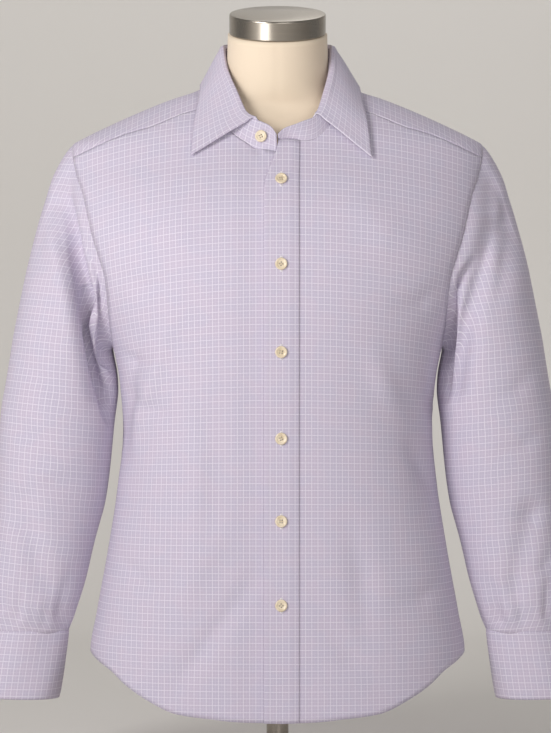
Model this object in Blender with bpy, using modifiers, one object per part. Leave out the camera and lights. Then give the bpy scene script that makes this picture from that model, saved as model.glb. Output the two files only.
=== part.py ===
# Long sleeve dress shirt, buttoned, on a limbless dress form.
# Metres. +Z is up, -Y is the front, and +X is the wearer's left.
# The origin is under the middle of the base plate.

import math

import bmesh
import bpy
import numpy as np
from mathutils import Matrix

# Walls and gaps
CLOTH = 0.0012  # panels and sleeves
FOLDED_CLOTH = 0.0016  # collar and placket, two layers and an interlining
CUFF_CLOTH = 0.0020
SEAM_GAP = 0.0005  # along a seam, edge to edge
SEAM_SHARE = 0.035  # the same at a yoke seam, as a share of the panel's last row
LAY_GAP = 0.0005  # between a piece and what lies on it

# Front closing
PLACKET_EDGE = -0.0148  # free edge of the placket, left of centre
PLACKET_SEAM = 0.0244  # its stitched edge
PLACKET_TURN = 0.645  # above this height the free edge swings over to the open collar
UNDER_EDGE = 0.0225  # edge of the button side, under the placket
BUTTON_X = 0.0040
BUTTON_HEIGHTS = (0.6555, 0.5620, 0.4660, 0.3710, 0.2805, 0.1890)
BUTTON_RADIUS = 0.0067
BUTTON_THICK = 0.0024

# Heights on the body
UNDERARM = 0.470
SIDE_NOTCH = 0.129
TAIL_DROP = 0.010  # the back tail hangs this much lower than the front one
BACK_YOKE = (0.668, 0.674)  # seam across the back, at the armholes and at the centre

# Grid of the panels: segments between seams, so that neighbours share their corners
SIDE_ROWS = 13  # hem to underarm
ARMHOLE_ROWS = 8  # underarm to yoke seam, front and back alike
YOKE_ROWS = 4  # yoke seam to yoke seam, over the shoulder end
FRONT_COLUMNS = 9
BACK_COLUMNS = 16
NECK_ROWS = 5  # yoke seam to the placket seam, along the neckline

# Dress form
BASE_RADIUS = 0.140
BASE_THICK = 0.010
POST_RADIUS = 0.0125
CAP_RADIUS = 0.0545
CAP_THICK = 0.0233
NECK_LEAN = math.radians(17)


class Table:
    """Rows read by their first column, with a smooth curve between them that never overshoots."""

    def __init__(self, columns, *rows):
        self.columns = columns.split()
        self.rows = np.array(rows, float)

    def at(self, column, value):
        x = self.rows[:, 0]
        y = self.rows[:, self.columns.index(column)]
        step = np.diff(x)
        rise = np.diff(y) / step
        slope = np.empty(len(x))
        slope[0] = rise[0]
        slope[-1] = rise[-1]
        for i in range(1, len(x) - 1):
            same_way = rise[i - 1] * rise[i] > 0
            slope[i] = 2 * rise[i - 1] * rise[i] / (rise[i - 1] + rise[i]) if same_way else 0
        value = min(max(value, x[0]), x[-1])
        i = min(int(np.searchsorted(x, value, "right")) - 1, len(x) - 2)
        t = (value - x[i]) / step[i]
        ends = y[i] * (1 + 2 * t) * (1 - t) ** 2 + y[i + 1] * t * t * (3 - 2 * t)
        turns = step[i] * (slope[i] * t * (1 - t) ** 2 - slope[i + 1] * t * t * (1 - t))
        return float(ends + turns)


# Level sections of the shirt's body. Each is an oval, squarer than an ellipse by its power.
# Above the underarm the oval runs on through the armhole, which cuts it off.
BODY = Table(
    "z half_width front back power",
    (0.050, 0.2130, 0.127, 0.122, 2.5),
    (0.129, 0.2126, 0.127, 0.124, 2.5),
    (0.172, 0.2055, 0.126, 0.123, 2.5),
    (0.241, 0.1930, 0.123, 0.119, 2.45),
    (0.309, 0.1825, 0.119, 0.114, 2.4),
    (0.378, 0.1760, 0.118, 0.111, 2.35),
    (0.429, 0.1790, 0.121, 0.113, 2.35),
    (0.470, 0.1865, 0.124, 0.118, 2.35),
    (0.530, 0.2110, 0.128, 0.124, 2.35),
    (0.570, 0.2280, 0.127, 0.127, 2.3),
    (0.620, 0.2420, 0.117, 0.127, 2.2),
    (0.650, 0.2445, 0.105, 0.123, 2.1),
    (0.680, 0.2430, 0.0875, 0.115, 2.0),
    (0.695, 0.2380, 0.0785, 0.110, 2.0),
    (0.7025, 0.2325, 0.0745, 0.106, 2.0),
    (0.7110, 0.2180, 0.0703, 0.102, 2.0),
    (0.7196, 0.2005, 0.0655, 0.097, 2.0),
    (0.737, 0.1625, 0.0530, 0.087, 2.0),
    (0.754, 0.1205, 0.0395, 0.077, 2.0),
    (0.763, 0.0935, 0.0300, 0.071, 2.0),
    (0.772, 0.0780, 0.0210, 0.0645, 2.0),
    (0.780, 0.0715, 0.0160, 0.0590, 2.0),
    (0.790, 0.0680, 0.0120, 0.0545, 2.0),
)

# Bottom edge of the fronts, by distance from the centre
HEM = Table(
    "x z",
    (0.000, 0.0600),
    (0.038, 0.0611),
    (0.075, 0.0645),
    (0.111, 0.0690),
    (0.146, 0.0842),
    (0.169, 0.0987),
    (0.185, 0.1122),
    (0.201, 0.1215),
    (0.2126, 0.1290),
)

# Armhole seam as it runs up the front and the back
ARMHOLE = Table(
    "z front_x back_x",
    (0.470, 0.1865, 0.1865),
    (0.497, 0.1889, 0.1905),
    (0.527, 0.1905, 0.1950),
    (0.549, 0.1927, 0.1985),
    (0.567, 0.1980, 0.2025),
    (0.595, 0.2068, 0.2090),
    (0.642, 0.2182, 0.2195),
    (0.668, 0.2275, 0.2280),
    (0.691, 0.2320, 0.2320),
    (0.7025, 0.2325, 0.2325),
)

# Forward shoulder seam, and the neckline by its angle round from the back
SHOULDER_SEAM = Table(
    "x z",
    (0.0718, 0.7430),
    (0.1036, 0.7356),
    (0.1403, 0.7203),
    (0.1731, 0.7107),
    (0.2215, 0.6905),
    (0.2348, 0.6850),
)
SHOULDER_SEAM_NECK = math.radians(121)
NECKLINE = Table(
    "angle z",
    (0, 0.784),
    (45, 0.782),
    (75, 0.779),
    (90, 0.776),
    (105, 0.765),
    (121, 0.743),
    (135, 0.722),
    (150, 0.704),
    (165, 0.694),
    (180, 0.690),
)

# Where the collar's two neckline ends of each front fall, in degrees from the back.
# The first is the front's own edge, the third the seam that the strip ends on.
LEFT_NECK_STRIP = (179.6, 171.0, 161.5)
RIGHT_NECK_STRIP = (184.5, 179.6, 170.5)
LEFT_LEAF_END = 150.5
RIGHT_LEAF_END = 159.0

# Top edge of the collar stand, where the leaf folds over, by its angle round from the back
FOLD = Table(
    "angle x y z",
    (0, 0.0000, 0.0480, 0.8200),
    (15, 0.0145, 0.0472, 0.8198),
    (45, 0.0415, 0.0360, 0.8180),
    (90, 0.0615, -0.0020, 0.8120),
    (114, 0.0590, -0.0290, 0.7875),
    (135, 0.0490, -0.0540, 0.7555),
    (150, 0.0375, -0.0680, 0.7295),
    (165, 0.0205, -0.0755, 0.7215),
    (176, 0.0070, -0.0785, 0.7145),
    (180, 0.0010, -0.0795, 0.7070),
)
LEAF_LIFT = 0.0040  # outer face of the leaf above the stand's top edge
FOLD_SHIFT = 0.0045  # the open collar's front sits this much to the wearer's left
LEAF_SHIFT = 0.0045  # and its points this much

# Outer edge of the collar leaf in plan, by its share of the way from the back to the front
LEAF_EDGE = Table(
    "share x y clear",
    (0.00, 0.0000, 0.0820, 0.0040),
    (0.08, 0.0190, 0.0812, 0.0040),
    (0.25, 0.0540, 0.0660, 0.0040),
    (0.46, 0.0830, 0.0330, 0.0040),
    (0.60, 0.0885, 0.0000, 0.0035),
    (0.74, 0.0910, -0.0320, 0.0035),
    (0.86, 0.0955, -0.0520, 0.0035),
    (1.00, 0.1000, -0.0790, 0.0030),
)

# Sleeve sections from the armhole to the cuff. Each is an oval between a point on the
# outer side and one on the inner side. They fan out from the underarm.
SLEEVE = Table(
    "along out_x out_z in_x in_z y half_depth",
    (0.00, 0.2325, 0.7025, 0.1865, 0.4700, 0.000, 0.078),
    (0.04, 0.2485, 0.6850, 0.1885, 0.4705, 0.000, 0.077),
    (0.08, 0.2560, 0.6650, 0.1878, 0.4675, 0.000, 0.076),
    (0.13, 0.2630, 0.6430, 0.1866, 0.4620, 0.000, 0.074),
    (0.20, 0.2710, 0.6170, 0.1847, 0.4530, 0.000, 0.072),
    (0.28, 0.2800, 0.5830, 0.1822, 0.4390, 0.000, 0.070),
    (0.36, 0.2880, 0.5490, 0.1815, 0.4200, 0.000, 0.068),
    (0.44, 0.2950, 0.5140, 0.1845, 0.3970, -0.001, 0.066),
    (0.52, 0.3015, 0.4800, 0.1877, 0.3650, -0.002, 0.064),
    (0.60, 0.3070, 0.4430, 0.1910, 0.3300, -0.004, 0.061),
    (0.68, 0.3140, 0.4000, 0.1967, 0.2920, -0.007, 0.057),
    (0.76, 0.3170, 0.3500, 0.2045, 0.2640, -0.010, 0.053),
    (0.84, 0.3185, 0.2920, 0.2110, 0.2370, -0.013, 0.050),
    (0.91, 0.3245, 0.2400, 0.2165, 0.2120, -0.016, 0.047),
    (0.97, 0.3310, 0.1880, 0.2260, 0.1800, -0.019, 0.042),
    (1.00, 0.3285, 0.1560, 0.2355, 0.1540, -0.020, 0.033),
)
SLEEVE_RINGS = 18
SLEEVE_START = 0.0030  # the sleeve first runs on from the panels by this much
SLEEVE_EASE_IN = 0.42  # share of the way over which the armhole's own curve fades out

# Cuff, at its top and bottom edges
CUFF = Table(
    "share in_x in_z out_x out_z y half_depth",
    (0, 0.2355, 0.1530, 0.3285, 0.1550, -0.020, 0.0330),
    (1, 0.2465, 0.0760, 0.3395, 0.0780, -0.022, 0.0335),
)
CUFF_OVERLAP = math.radians(34)
CUFF_OPENING = math.radians(-62)  # where the upper end stops, at the outer back

# The largest soft folds: hollows pressed into the front, between two points
FOLDS = (
    # x0, z0, x1, z1, half width, depth
    (-0.237, 0.672, -0.240, 0.630, 0.014, 0.005),
    (-0.240, 0.630, -0.221, 0.534, 0.014, 0.011),
    (-0.221, 0.534, -0.197, 0.420, 0.013, 0.012),
    (0.240, 0.668, 0.243, 0.610, 0.014, 0.005),
    (0.243, 0.610, 0.216, 0.520, 0.013, 0.010),
    (0.216, 0.520, 0.199, 0.430, 0.012, 0.011),
    (-0.285, 0.300, -0.262, 0.205, 0.014, 0.005),
    (0.283, 0.290, 0.264, 0.200, 0.014, 0.005),
    (-0.122, 0.480, -0.155, 0.380, 0.024, 0.004),
    (-0.092, 0.370, -0.096, 0.240, 0.028, 0.004),
    (0.150, 0.400, 0.172, 0.300, 0.024, 0.004),
    (-0.050, 0.200, -0.115, 0.110, 0.020, 0.003),
)

# Dress form: level sections up to the shoulders, then the neck, which leans forward
FORM = Table(
    "z y half_width half_depth lean",
    (0.1200, 0.000, 0.1380, 0.0780, 0),
    (0.1215, 0.000, 0.1460, 0.0850, 0),
    (0.1280, 0.000, 0.1530, 0.0910, 0),
    (0.1600, -0.001, 0.1640, 0.0980, 0),
    (0.2200, -0.001, 0.1680, 0.1030, 0),
    (0.3000, -0.002, 0.1600, 0.0990, 0),
    (0.3780, -0.003, 0.1530, 0.0960, 0),
    (0.4500, -0.003, 0.1600, 0.1010, 0),
    (0.5300, -0.002, 0.1680, 0.1080, 0),
    (0.5900, 0.002, 0.1720, 0.1090, 0),
    (0.6400, 0.008, 0.1780, 0.1000, 0),
    (0.6800, 0.014, 0.1830, 0.0860, 0),
    (0.7020, 0.016, 0.1800, 0.0760, 0),
    (0.7170, 0.016, 0.1640, 0.0690, 0),
    (0.7310, 0.015, 0.1380, 0.0620, 2),
    (0.7430, 0.012, 0.1100, 0.0570, 4),
    (0.7520, 0.008, 0.0860, 0.0540, 6),
    (0.7610, 0.003, 0.0700, 0.0530, 9),
    (0.7760, -0.004, 0.0595, 0.0530, 12),
    (0.8000, -0.013, 0.0572, 0.0540, 15),
    (0.8258, -0.022, 0.0562, 0.0555, 17),
)
FORM_SIDES = 32


def clear_scene():
    for old in list(bpy.data.objects):
        bpy.data.objects.remove(old)


def unit(vector):
    return vector / np.linalg.norm(vector)


def smooth_step(value):
    value = min(max(value, 0.0), 1.0)
    return value * value * (3 - 2 * value)


def fold_depth(x, z):
    """How far the front is pressed in at this place."""
    depth = 0.0
    for x0, z0, x1, z1, half_width, deepest in FOLDS:
        along = np.array((x1 - x0, z1 - z0))
        share = np.dot((x - x0, z - z0), along) / np.dot(along, along)
        share = min(max(share, 0.0), 1.0)
        away = math.hypot(x - x0 - share * along[0], z - z0 - share * along[1])
        depth = max(depth, deepest * math.exp(-((away / half_width) ** 2)))
    return depth


# The body's surface, by the angle round from the back and the height


def body_radius(angle, z):
    power = BODY.at("power", z)
    deep = BODY.at("front" if math.cos(angle) < 0 else "back", z)
    wide = abs(math.sin(angle)) / BODY.at("half_width", z)
    return (wide**power + (abs(math.cos(angle)) / deep) ** power) ** (-1 / power)


def plain_body_point(angle, z):
    radius = body_radius(angle, z)
    x = radius * math.sin(angle)
    y = radius * math.cos(angle)
    if y < 0:
        y += fold_depth(x, z) * smooth_step(-y / 0.05)
    return np.array((x, y, z))


def body_normal(angle, z):
    step = 0.002
    round_it = plain_body_point(angle + step, z) - plain_body_point(angle - step, z)
    up_it = plain_body_point(angle, z + step) - plain_body_point(angle, z - step)
    return unit(np.cross(up_it, round_it))


def body_point(angle, z, out=0.0):
    return plain_body_point(angle, z) + out * body_normal(angle, z)


def angle_at(x, z, side_of_body="front"):
    """The angle of the point on the front or the back that is x from the centre."""
    power = BODY.at("power", z)
    share = min(abs(x) / BODY.at("half_width", z), 1.0)
    y = BODY.at(side_of_body, z) * (1 - share**power) ** (1 / power)
    return math.atan2(x, -y if side_of_body == "front" else y)


def neckline_at(angle):
    return NECKLINE.at("z", abs(math.degrees(angle)))


def shares(count):
    return [i / count for i in range(count + 1)]


def between(low, high, count):
    return [low + (high - low) * share for share in shares(count)]


# Seams, as lists of (angle, height) places on the wearer's left. The right side mirrors them.


def side_seam():
    return [(math.pi / 2, z) for z in between(SIDE_NOTCH, UNDERARM, SIDE_ROWS)]


def armhole_up(side_of_body, top):
    """From the underarm up to the yoke, with more rows where the seam turns."""
    places = []
    for share in shares(ARMHOLE_ROWS):
        z = UNDERARM + (top - UNDERARM) * share**1.25
        x = ARMHOLE.at(side_of_body + "_x", z)
        places.append((angle_at(x, z, side_of_body), z))
    places[0] = (math.pi / 2, UNDERARM)
    return places


def front_armhole():
    return armhole_up("front", SHOULDER_SEAM.at("z", 0.2300))


def back_armhole():
    return armhole_up("back", BACK_YOKE[0])


def shoulder_end():
    """From the forward shoulder seam to the back yoke seam, over the shoulder end."""
    front_angle, front_z = front_armhole()[-1]
    back_angle, back_z = back_armhole()[-1]
    tip_z = ARMHOLE.rows[-1, 0]
    front_mid = angle_at(ARMHOLE.at("front_x", 0.6965), 0.6965, "front")
    back_mid = angle_at(ARMHOLE.at("back_x", 0.690), 0.690, "back")
    return [
        (front_angle, front_z),
        (front_mid, 0.6965),
        (math.pi / 2, tip_z),
        (back_mid, 0.690),
        (back_angle, back_z),
    ]


def shoulder_seam():
    """From the neckline to the armhole."""
    end_angle, end_z = front_armhole()[-1]
    places = []
    for share in shares(FRONT_COLUMNS):
        x = SHOULDER_SEAM.rows[0, 0] + (0.2300 - SHOULDER_SEAM.rows[0, 0]) * share
        z = SHOULDER_SEAM.at("z", x)
        places.append((angle_at(x, z), z))
    places[0] = (SHOULDER_SEAM_NECK, neckline_at(SHOULDER_SEAM_NECK))
    places[-1] = (end_angle, end_z)
    return places


def back_yoke_seam():
    """From the wearer's left armhole to the right one."""
    end = back_armhole()[-1][0]
    places = []
    for share in shares(BACK_COLUMNS):
        angle = end * (1 - 2 * share)
        rise = 1 - (angle / end) ** 2
        places.append((angle, BACK_YOKE[0] + (BACK_YOKE[1] - BACK_YOKE[0]) * rise))
    return places


def neck_angles(strip, leaf_end):
    """Neckline places of one front, from the strip's seam round to the shoulder seam."""
    rest = between(leaf_end, math.degrees(SHOULDER_SEAM_NECK), NECK_ROWS - 1)
    return [math.radians(a) for a in [strip[2]] + rest]


# Grids of points


def coons(bottom, top, left, right, fade=1):
    """Fills four edges with (angle, height) places. Bottom and top run left to right.

    A fade over 1 keeps the bend of the left and right edges close to them.
    """
    bottom, top, left, right = map(np.array, (bottom, top, left, right))
    rows = len(left)
    columns = len(bottom)
    grid = np.empty((rows, columns, 2))
    for i, v in enumerate(shares(rows - 1)):
        for j, u in enumerate(shares(columns - 1)):
            bend_left = left[i] - (1 - v) * bottom[0] - v * top[0]
            bend_right = right[i] - (1 - v) * bottom[-1] - v * top[-1]
            bends = (1 - u) ** fade * bend_left + u**fade * bend_right
            grid[i, j] = (1 - v) * bottom[j] + v * top[j] + bends
    return grid


def placed(grid, out=lambda point: 0.0):
    """Puts a grid of (angle, height) places on the body."""
    points = np.empty(grid.shape[:2] + (3,))
    for i, j in np.ndindex(grid.shape[:2]):
        angle, z = grid[i, j]
        points[i, j] = body_point(angle, z, out(plain_body_point(angle, z)))
    return points


def closing_x(edge_x, neck_angle, z):
    """An edge of the closing: straight up, and over to its place on the neckline at the top."""
    top = neckline_at(neck_angle)
    radius = body_radius(neck_angle, top)
    share = smooth_step((z - PLACKET_TURN) / (top - PLACKET_TURN))
    return edge_x + (radius * math.sin(neck_angle) - edge_x) * share


def closing_line(edge_x, neck_angle, rows):
    """(angle, height) places up an edge of the closing, from the hem to the neckline."""
    low = HEM.at("z", abs(edge_x))
    places = []
    for z in between(low, neckline_at(neck_angle), rows):
        angle = angle_at(closing_x(edge_x, neck_angle, z), z)
        places.append((angle, z))
    return places


def front_grids(strip_edges, strip_neck, leaf_end, out):
    """The strip beside the closing, and the rest of one front. The numbers are for a left front."""
    rows_below = SIDE_ROWS + ARMHOLE_ROWS - NECK_ROWS
    lines = []
    for edge_x, degrees in zip(strip_edges, strip_neck):
        lines.append(closing_line(edge_x, math.radians(degrees), rows_below))
    strip = np.array(lines).transpose(1, 0, 2)
    neck = [(a, neckline_at(a)) for a in neck_angles(strip_neck, leaf_end)]
    left = [tuple(place) for place in strip[:, 2]] + neck[1:]
    right = side_seam() + front_armhole()[1:]
    start = abs(strip_edges[2])
    bottom = []
    for share in shares(FRONT_COLUMNS):
        x = start + (BODY.at("half_width", SIDE_NOTCH) - start) * (1 - (1 - share) ** 1.35)
        bottom.append((angle_at(x, HEM.at("z", x)), HEM.at("z", x)))
    bottom[0] = left[0]
    bottom[-1] = right[0]
    main = coons(bottom, shoulder_seam(), left, right)
    main[-1] += SEAM_SHARE * (main[-2] - main[-1])
    main[: SIDE_ROWS + 1, -1, 0] += 0.6 * SEAM_GAP / BODY.at("half_width", UNDERARM)
    return [placed(strip, out), placed(main, out)]


def mirrored(points):
    return points * np.array((-1, 1, 1))


# Meshes and objects


def material(name, colour, roughness, metallic=0.0):
    made = bpy.data.materials.new(name)
    made.use_nodes = True
    shader = made.node_tree.nodes["Principled BSDF"]
    shader.inputs["Base Color"].default_value = (*colour, 1)
    shader.inputs["Roughness"].default_value = roughness
    shader.inputs["Metallic"].default_value = metallic
    return made


def add_object(name, mesh, finish, collection):
    mesh.materials.clear()
    mesh.materials.append(finish)
    made = bpy.data.objects.new(name, mesh)
    collection.objects.link(made)
    return made


def fill_grid(bm, points):
    """Adds a grid of faces through rows of points."""
    rows, columns = points.shape[:2]
    made = bmesh.ops.create_grid(bm, x_segments=columns - 1, y_segments=rows - 1, size=1)
    order = sorted(made["verts"], key=lambda v: (round(v.co.y, 6), round(v.co.x, 6)))
    for vert, point in zip(order, points.reshape(-1, 3)):
        vert.co = point


def cloth(name, grids, wall, finish, collection, turned=False):
    """A sheet through one or more grids of points on its outer face, with its wall inside."""
    bm = bmesh.new()
    for points in grids:
        fill_grid(bm, points)
    bmesh.ops.remove_doubles(bm, verts=bm.verts, dist=0.00002)
    if turned:
        bmesh.ops.reverse_faces(bm, faces=bm.faces)
    mesh = bpy.data.meshes.new(name)
    bm.to_mesh(mesh)
    bm.free()
    mesh.shade_smooth()
    made = add_object(name, mesh, finish, collection)
    shell = made.modifiers.new("Wall", "SOLIDIFY")
    shell.thickness = wall
    shell.offset = -1
    return made


def loft_mesh(name, rings, capped):
    """Joins rings of equal count in order. Without caps, the last ring joins the first one."""
    bm = bmesh.new()
    loops = [[bm.verts.new(point) for point in ring] for ring in rings]
    pairs = list(zip(loops, loops[1:]))
    if not capped:
        pairs.append((loops[-1], loops[0]))
    for low, high in pairs:
        for j in range(len(low)):
            k = (j + 1) % len(low)
            bm.faces.new((low[j], low[k], high[k], high[j]))
    if capped:
        bm.faces.new(loops[0][::-1])
        bm.faces.new(loops[-1])
    bmesh.ops.recalc_face_normals(bm, faces=bm.faces)
    mesh = bpy.data.meshes.new(name)
    bm.to_mesh(mesh)
    bm.free()
    mesh.shade_smooth()
    return mesh


def turned_mesh(name, profile, steps):
    """A turned shape about Z. The profile runs down its outer side, from axis to axis."""
    mesh = bpy.data.meshes.new(name)
    edges = [(i, i + 1) for i in range(len(profile) - 1)]
    mesh.from_pydata([(r, 0, z) for r, z in profile], edges, [])
    guide = bpy.data.objects.new(name, mesh)
    bpy.context.scene.collection.objects.link(guide)
    screw = guide.modifiers.new("Turn", "SCREW")
    screw.steps = steps
    screw.render_steps = steps
    screw.use_merge_vertices = True
    screw.merge_threshold = 0.00005
    graph = bpy.context.evaluated_depsgraph_get()
    made = bpy.data.meshes.new_from_object(guide.evaluated_get(graph))
    bpy.data.objects.remove(guide)
    return made


def set_on(target, point, outward):
    """Stands an object's Z axis along a direction, at a point."""
    z_axis = unit(np.array(outward, float))
    x_axis = unit(np.cross((0, 0, 1), z_axis))
    y_axis = np.cross(z_axis, x_axis)
    turn = np.eye(4)
    turn[:3, 0] = x_axis
    turn[:3, 1] = y_axis
    turn[:3, 2] = z_axis
    turn[:3, 3] = point
    target.matrix_world = Matrix(turn.tolist())


# The shirt's pieces


def add_fronts(finish, collection):
    """The left front carries the placket, and the right one runs on beneath it."""
    middle = (PLACKET_EDGE + PLACKET_SEAM) / 2
    left_edges = (PLACKET_EDGE, middle, PLACKET_SEAM)
    left = front_grids(left_edges, LEFT_NECK_STRIP, LEFT_LEAF_END, lambda p: 0.0)
    cloth("front_left", left, CLOTH, finish, collection)

    def sink(point):
        """Mirrored: the right front dips under the left one as it nears the centre."""
        return -(CLOTH + LAY_GAP + 0.0003) * smooth_step((0.052 - point[0]) / 0.030)

    right_edges = (-UNDER_EDGE, -middle, -PLACKET_EDGE)
    right = front_grids(right_edges, RIGHT_NECK_STRIP, RIGHT_LEAF_END, sink)
    right = [mirrored(points) for points in right]
    cloth("front_right", right, CLOTH, finish, collection, turned=True)
    return left[0]


def grid_normals(points):
    """Outward normals of a grid whose rows run up and whose columns run round the front."""
    round_it = np.gradient(points, axis=1)
    up_it = np.gradient(points, axis=0)
    normals = np.cross(round_it, up_it)
    return normals / np.linalg.norm(normals, axis=2, keepdims=True)


def add_placket(strip, finish, collection):
    lifted = strip + (LAY_GAP + FOLDED_CLOTH) * grid_normals(strip)
    cloth("placket", [lifted], FOLDED_CLOTH, finish, collection)


def add_back(finish, collection):
    """One panel from side seam to side seam. Its tail is longer than the fronts'."""
    rise = side_seam() + back_armhole()[1:]
    bottom = []
    for share in shares(BACK_COLUMNS):
        angle = math.pi / 2 * (1 - 2 * share)
        x = BODY.at("half_width", SIDE_NOTCH) * abs(math.sin(angle)) ** 0.85
        z = HEM.at("z", x) - TAIL_DROP * math.cos(angle)
        bottom.append((angle_at(math.copysign(x, angle), z, "back"), z))
    bottom[0] = rise[0]
    bottom[-1] = (-rise[0][0], rise[0][1])
    other = [(-angle, z) for angle, z in rise]
    grid = coons(bottom, back_yoke_seam(), rise, other)
    grid[-1] += SEAM_SHARE * (grid[-2] - grid[-1])
    inset = 0.6 * SEAM_GAP / BODY.at("half_width", UNDERARM)
    grid[: SIDE_ROWS + 1, 0, 0] -= inset
    grid[: SIDE_ROWS + 1, -1, 0] += inset
    cloth("back", [placed(grid)], CLOTH, finish, collection)


def yoke_neck_angles():
    """Neckline places along the yoke, from the left shoulder seam to the right one."""
    count = 2 * YOKE_ROWS + BACK_COLUMNS
    return between(SHOULDER_SEAM_NECK, -SHOULDER_SEAM_NECK, count)


def add_yoke(finish, collection):
    """From shoulder seam to shoulder seam round the back of the neck."""
    end = shoulder_end()
    outer = end + back_yoke_seam()[1:-1] + [(-angle, z) for angle, z in end[::-1]]
    inner = [(angle, neckline_at(angle)) for angle in yoke_neck_angles()]
    seam = shoulder_seam()
    other = [(-angle, z) for angle, z in seam]
    grid = coons(inner, outer, seam, other, fade=8)
    cloth("yoke", [placed(grid)], CLOTH, finish, collection, turned=True)


def neck_list():
    """Neckline angles under the collar, from the right front's end round to the left one's."""
    left = [math.radians(a) for a in LEFT_NECK_STRIP[:2]]
    left += neck_angles(LEFT_NECK_STRIP, LEFT_LEAF_END)
    right = [math.radians(RIGHT_NECK_STRIP[1])]
    right += neck_angles(RIGHT_NECK_STRIP, RIGHT_LEAF_END)
    return [-a for a in right[:-1]] + yoke_neck_angles()[::-1] + left[::-1][1:]


def fold_point(angle):
    """Top edge of the collar stand."""
    degrees = abs(math.degrees(angle))
    x = math.copysign(FOLD.at("x", degrees), angle)
    x += FOLD_SHIFT * smooth_step((degrees - 100) / 50) * smooth_step((180 - degrees) / 12)
    return np.array((x, FOLD.at("y", degrees), FOLD.at("z", degrees)))


def stand_grid(angles):
    """Rows from the neckline up to the fold."""
    rows = []
    for share in (0, 0.33, 0.67, 1):
        row = []
        for angle in angles:
            foot = body_point(angle, neckline_at(angle), -0.0001)
            top = fold_point(angle)
            foot = foot + SEAM_GAP * 1.6 * unit(top - foot)
            row.append(foot + (top - foot) * share)
        rows.append(row)
    return np.array(rows)


def height_of_body(x, y):
    """The height of the shoulder or chest over a point in plan."""
    angle = math.atan2(x, y)
    reach = math.hypot(x, y)
    low, high = 0.60, 0.79
    for _ in range(30):
        middle = (low + high) / 2
        if body_radius(angle, middle) > reach:
            low = middle
        else:
            high = middle
    return (low + high) / 2


def leaf_grid(angles):
    """Rows from the fold over and down to the outer edge."""
    rows = []
    for over in (0, 0.06, 0.2, 0.45, 0.72, 1):
        row = []
        for angle in angles:
            end = math.radians(LEFT_LEAF_END if angle > 0 else RIGHT_LEAF_END)
            share = min(abs(angle) / end, 1.0)
            x = math.copysign(LEAF_EDGE.at("x", share), angle) + LEAF_SHIFT * share
            y = LEAF_EDGE.at("y", share)
            z = height_of_body(x, y)
            edge = body_point(math.atan2(x, y), z, FOLDED_CLOTH + LEAF_EDGE.at("clear", share))
            top = fold_point(angle) + np.array((0, 0, LEAF_LIFT))
            away = edge - top
            level = unit(np.array((away[0], away[1], 0)))
            swell = 0.0020 * math.sin(math.pi * over) + 0.0020 * smooth_step(over / 0.06)
            lift = 0.0012 * math.sin(math.pi * min(over / 0.12, 1))
            row.append(top + away * over + level * swell * (1 - over) + (0, 0, lift))
        rows.append(row)
    return np.array(rows)


def add_collar(finish, collection):
    angles = neck_list()
    stand = stand_grid(angles)
    cloth("collar_stand", [stand], FOLDED_CLOTH, finish, collection, turned=True)
    low = -math.radians(RIGHT_LEAF_END) - 0.001
    high = math.radians(LEFT_LEAF_END) + 0.001
    leaf = leaf_grid([a for a in angles if low <= a <= high])
    cloth("collar_leaf", [leaf], FOLDED_CLOTH, finish, collection)
    return stand


def armhole_ring():
    """Seam points and body normals, from the underarm up the front and down the back."""
    places = front_armhole() + shoulder_end()[1:] + back_armhole()[::-1][1:-1]
    seam = np.array([body_point(angle, z) for angle, z in places])
    normals = np.array([body_normal(angle, z) for angle, z in places])
    along = np.roll(seam, -1, axis=0) - np.roll(seam, 1, axis=0)
    outward = np.cross(along, normals)
    outward /= np.linalg.norm(outward, axis=1, keepdims=True)
    rising = outward + 0.8 * normals
    rising /= np.linalg.norm(rising, axis=1, keepdims=True)
    return seam + 1.4 * SEAM_GAP * outward, seam + SLEEVE_START * rising, normals


def sleeve_oval(along, turns):
    """One section: turn 0 is the outer side, a quarter turn is the front."""
    outer = np.array((SLEEVE.at("out_x", along), 0, SLEEVE.at("out_z", along)))
    inner = np.array((SLEEVE.at("in_x", along), 0, SLEEVE.at("in_z", along)))
    middle = (outer + inner) / 2 + np.array((0, SLEEVE.at("y", along), 0))
    half = (outer - inner) / 2
    deep = SLEEVE.at("half_depth", along)
    return np.array([middle + half * math.cos(t) + np.array((0, -deep * math.sin(t), 0)) for t in turns])


def sleeve_turns(ring):
    outer = np.array((SLEEVE.at("out_x", 0), 0, SLEEVE.at("out_z", 0)))
    inner = np.array((SLEEVE.at("in_x", 0), 0, SLEEVE.at("in_z", 0)))
    half = (outer - inner) / 2
    turns = []
    for point in ring - (outer + inner) / 2:
        level = np.dot(point, half) / np.dot(half, half)
        turns.append(math.atan2(-point[1] / SLEEVE.at("half_depth", 0), level))
    return turns


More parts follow.
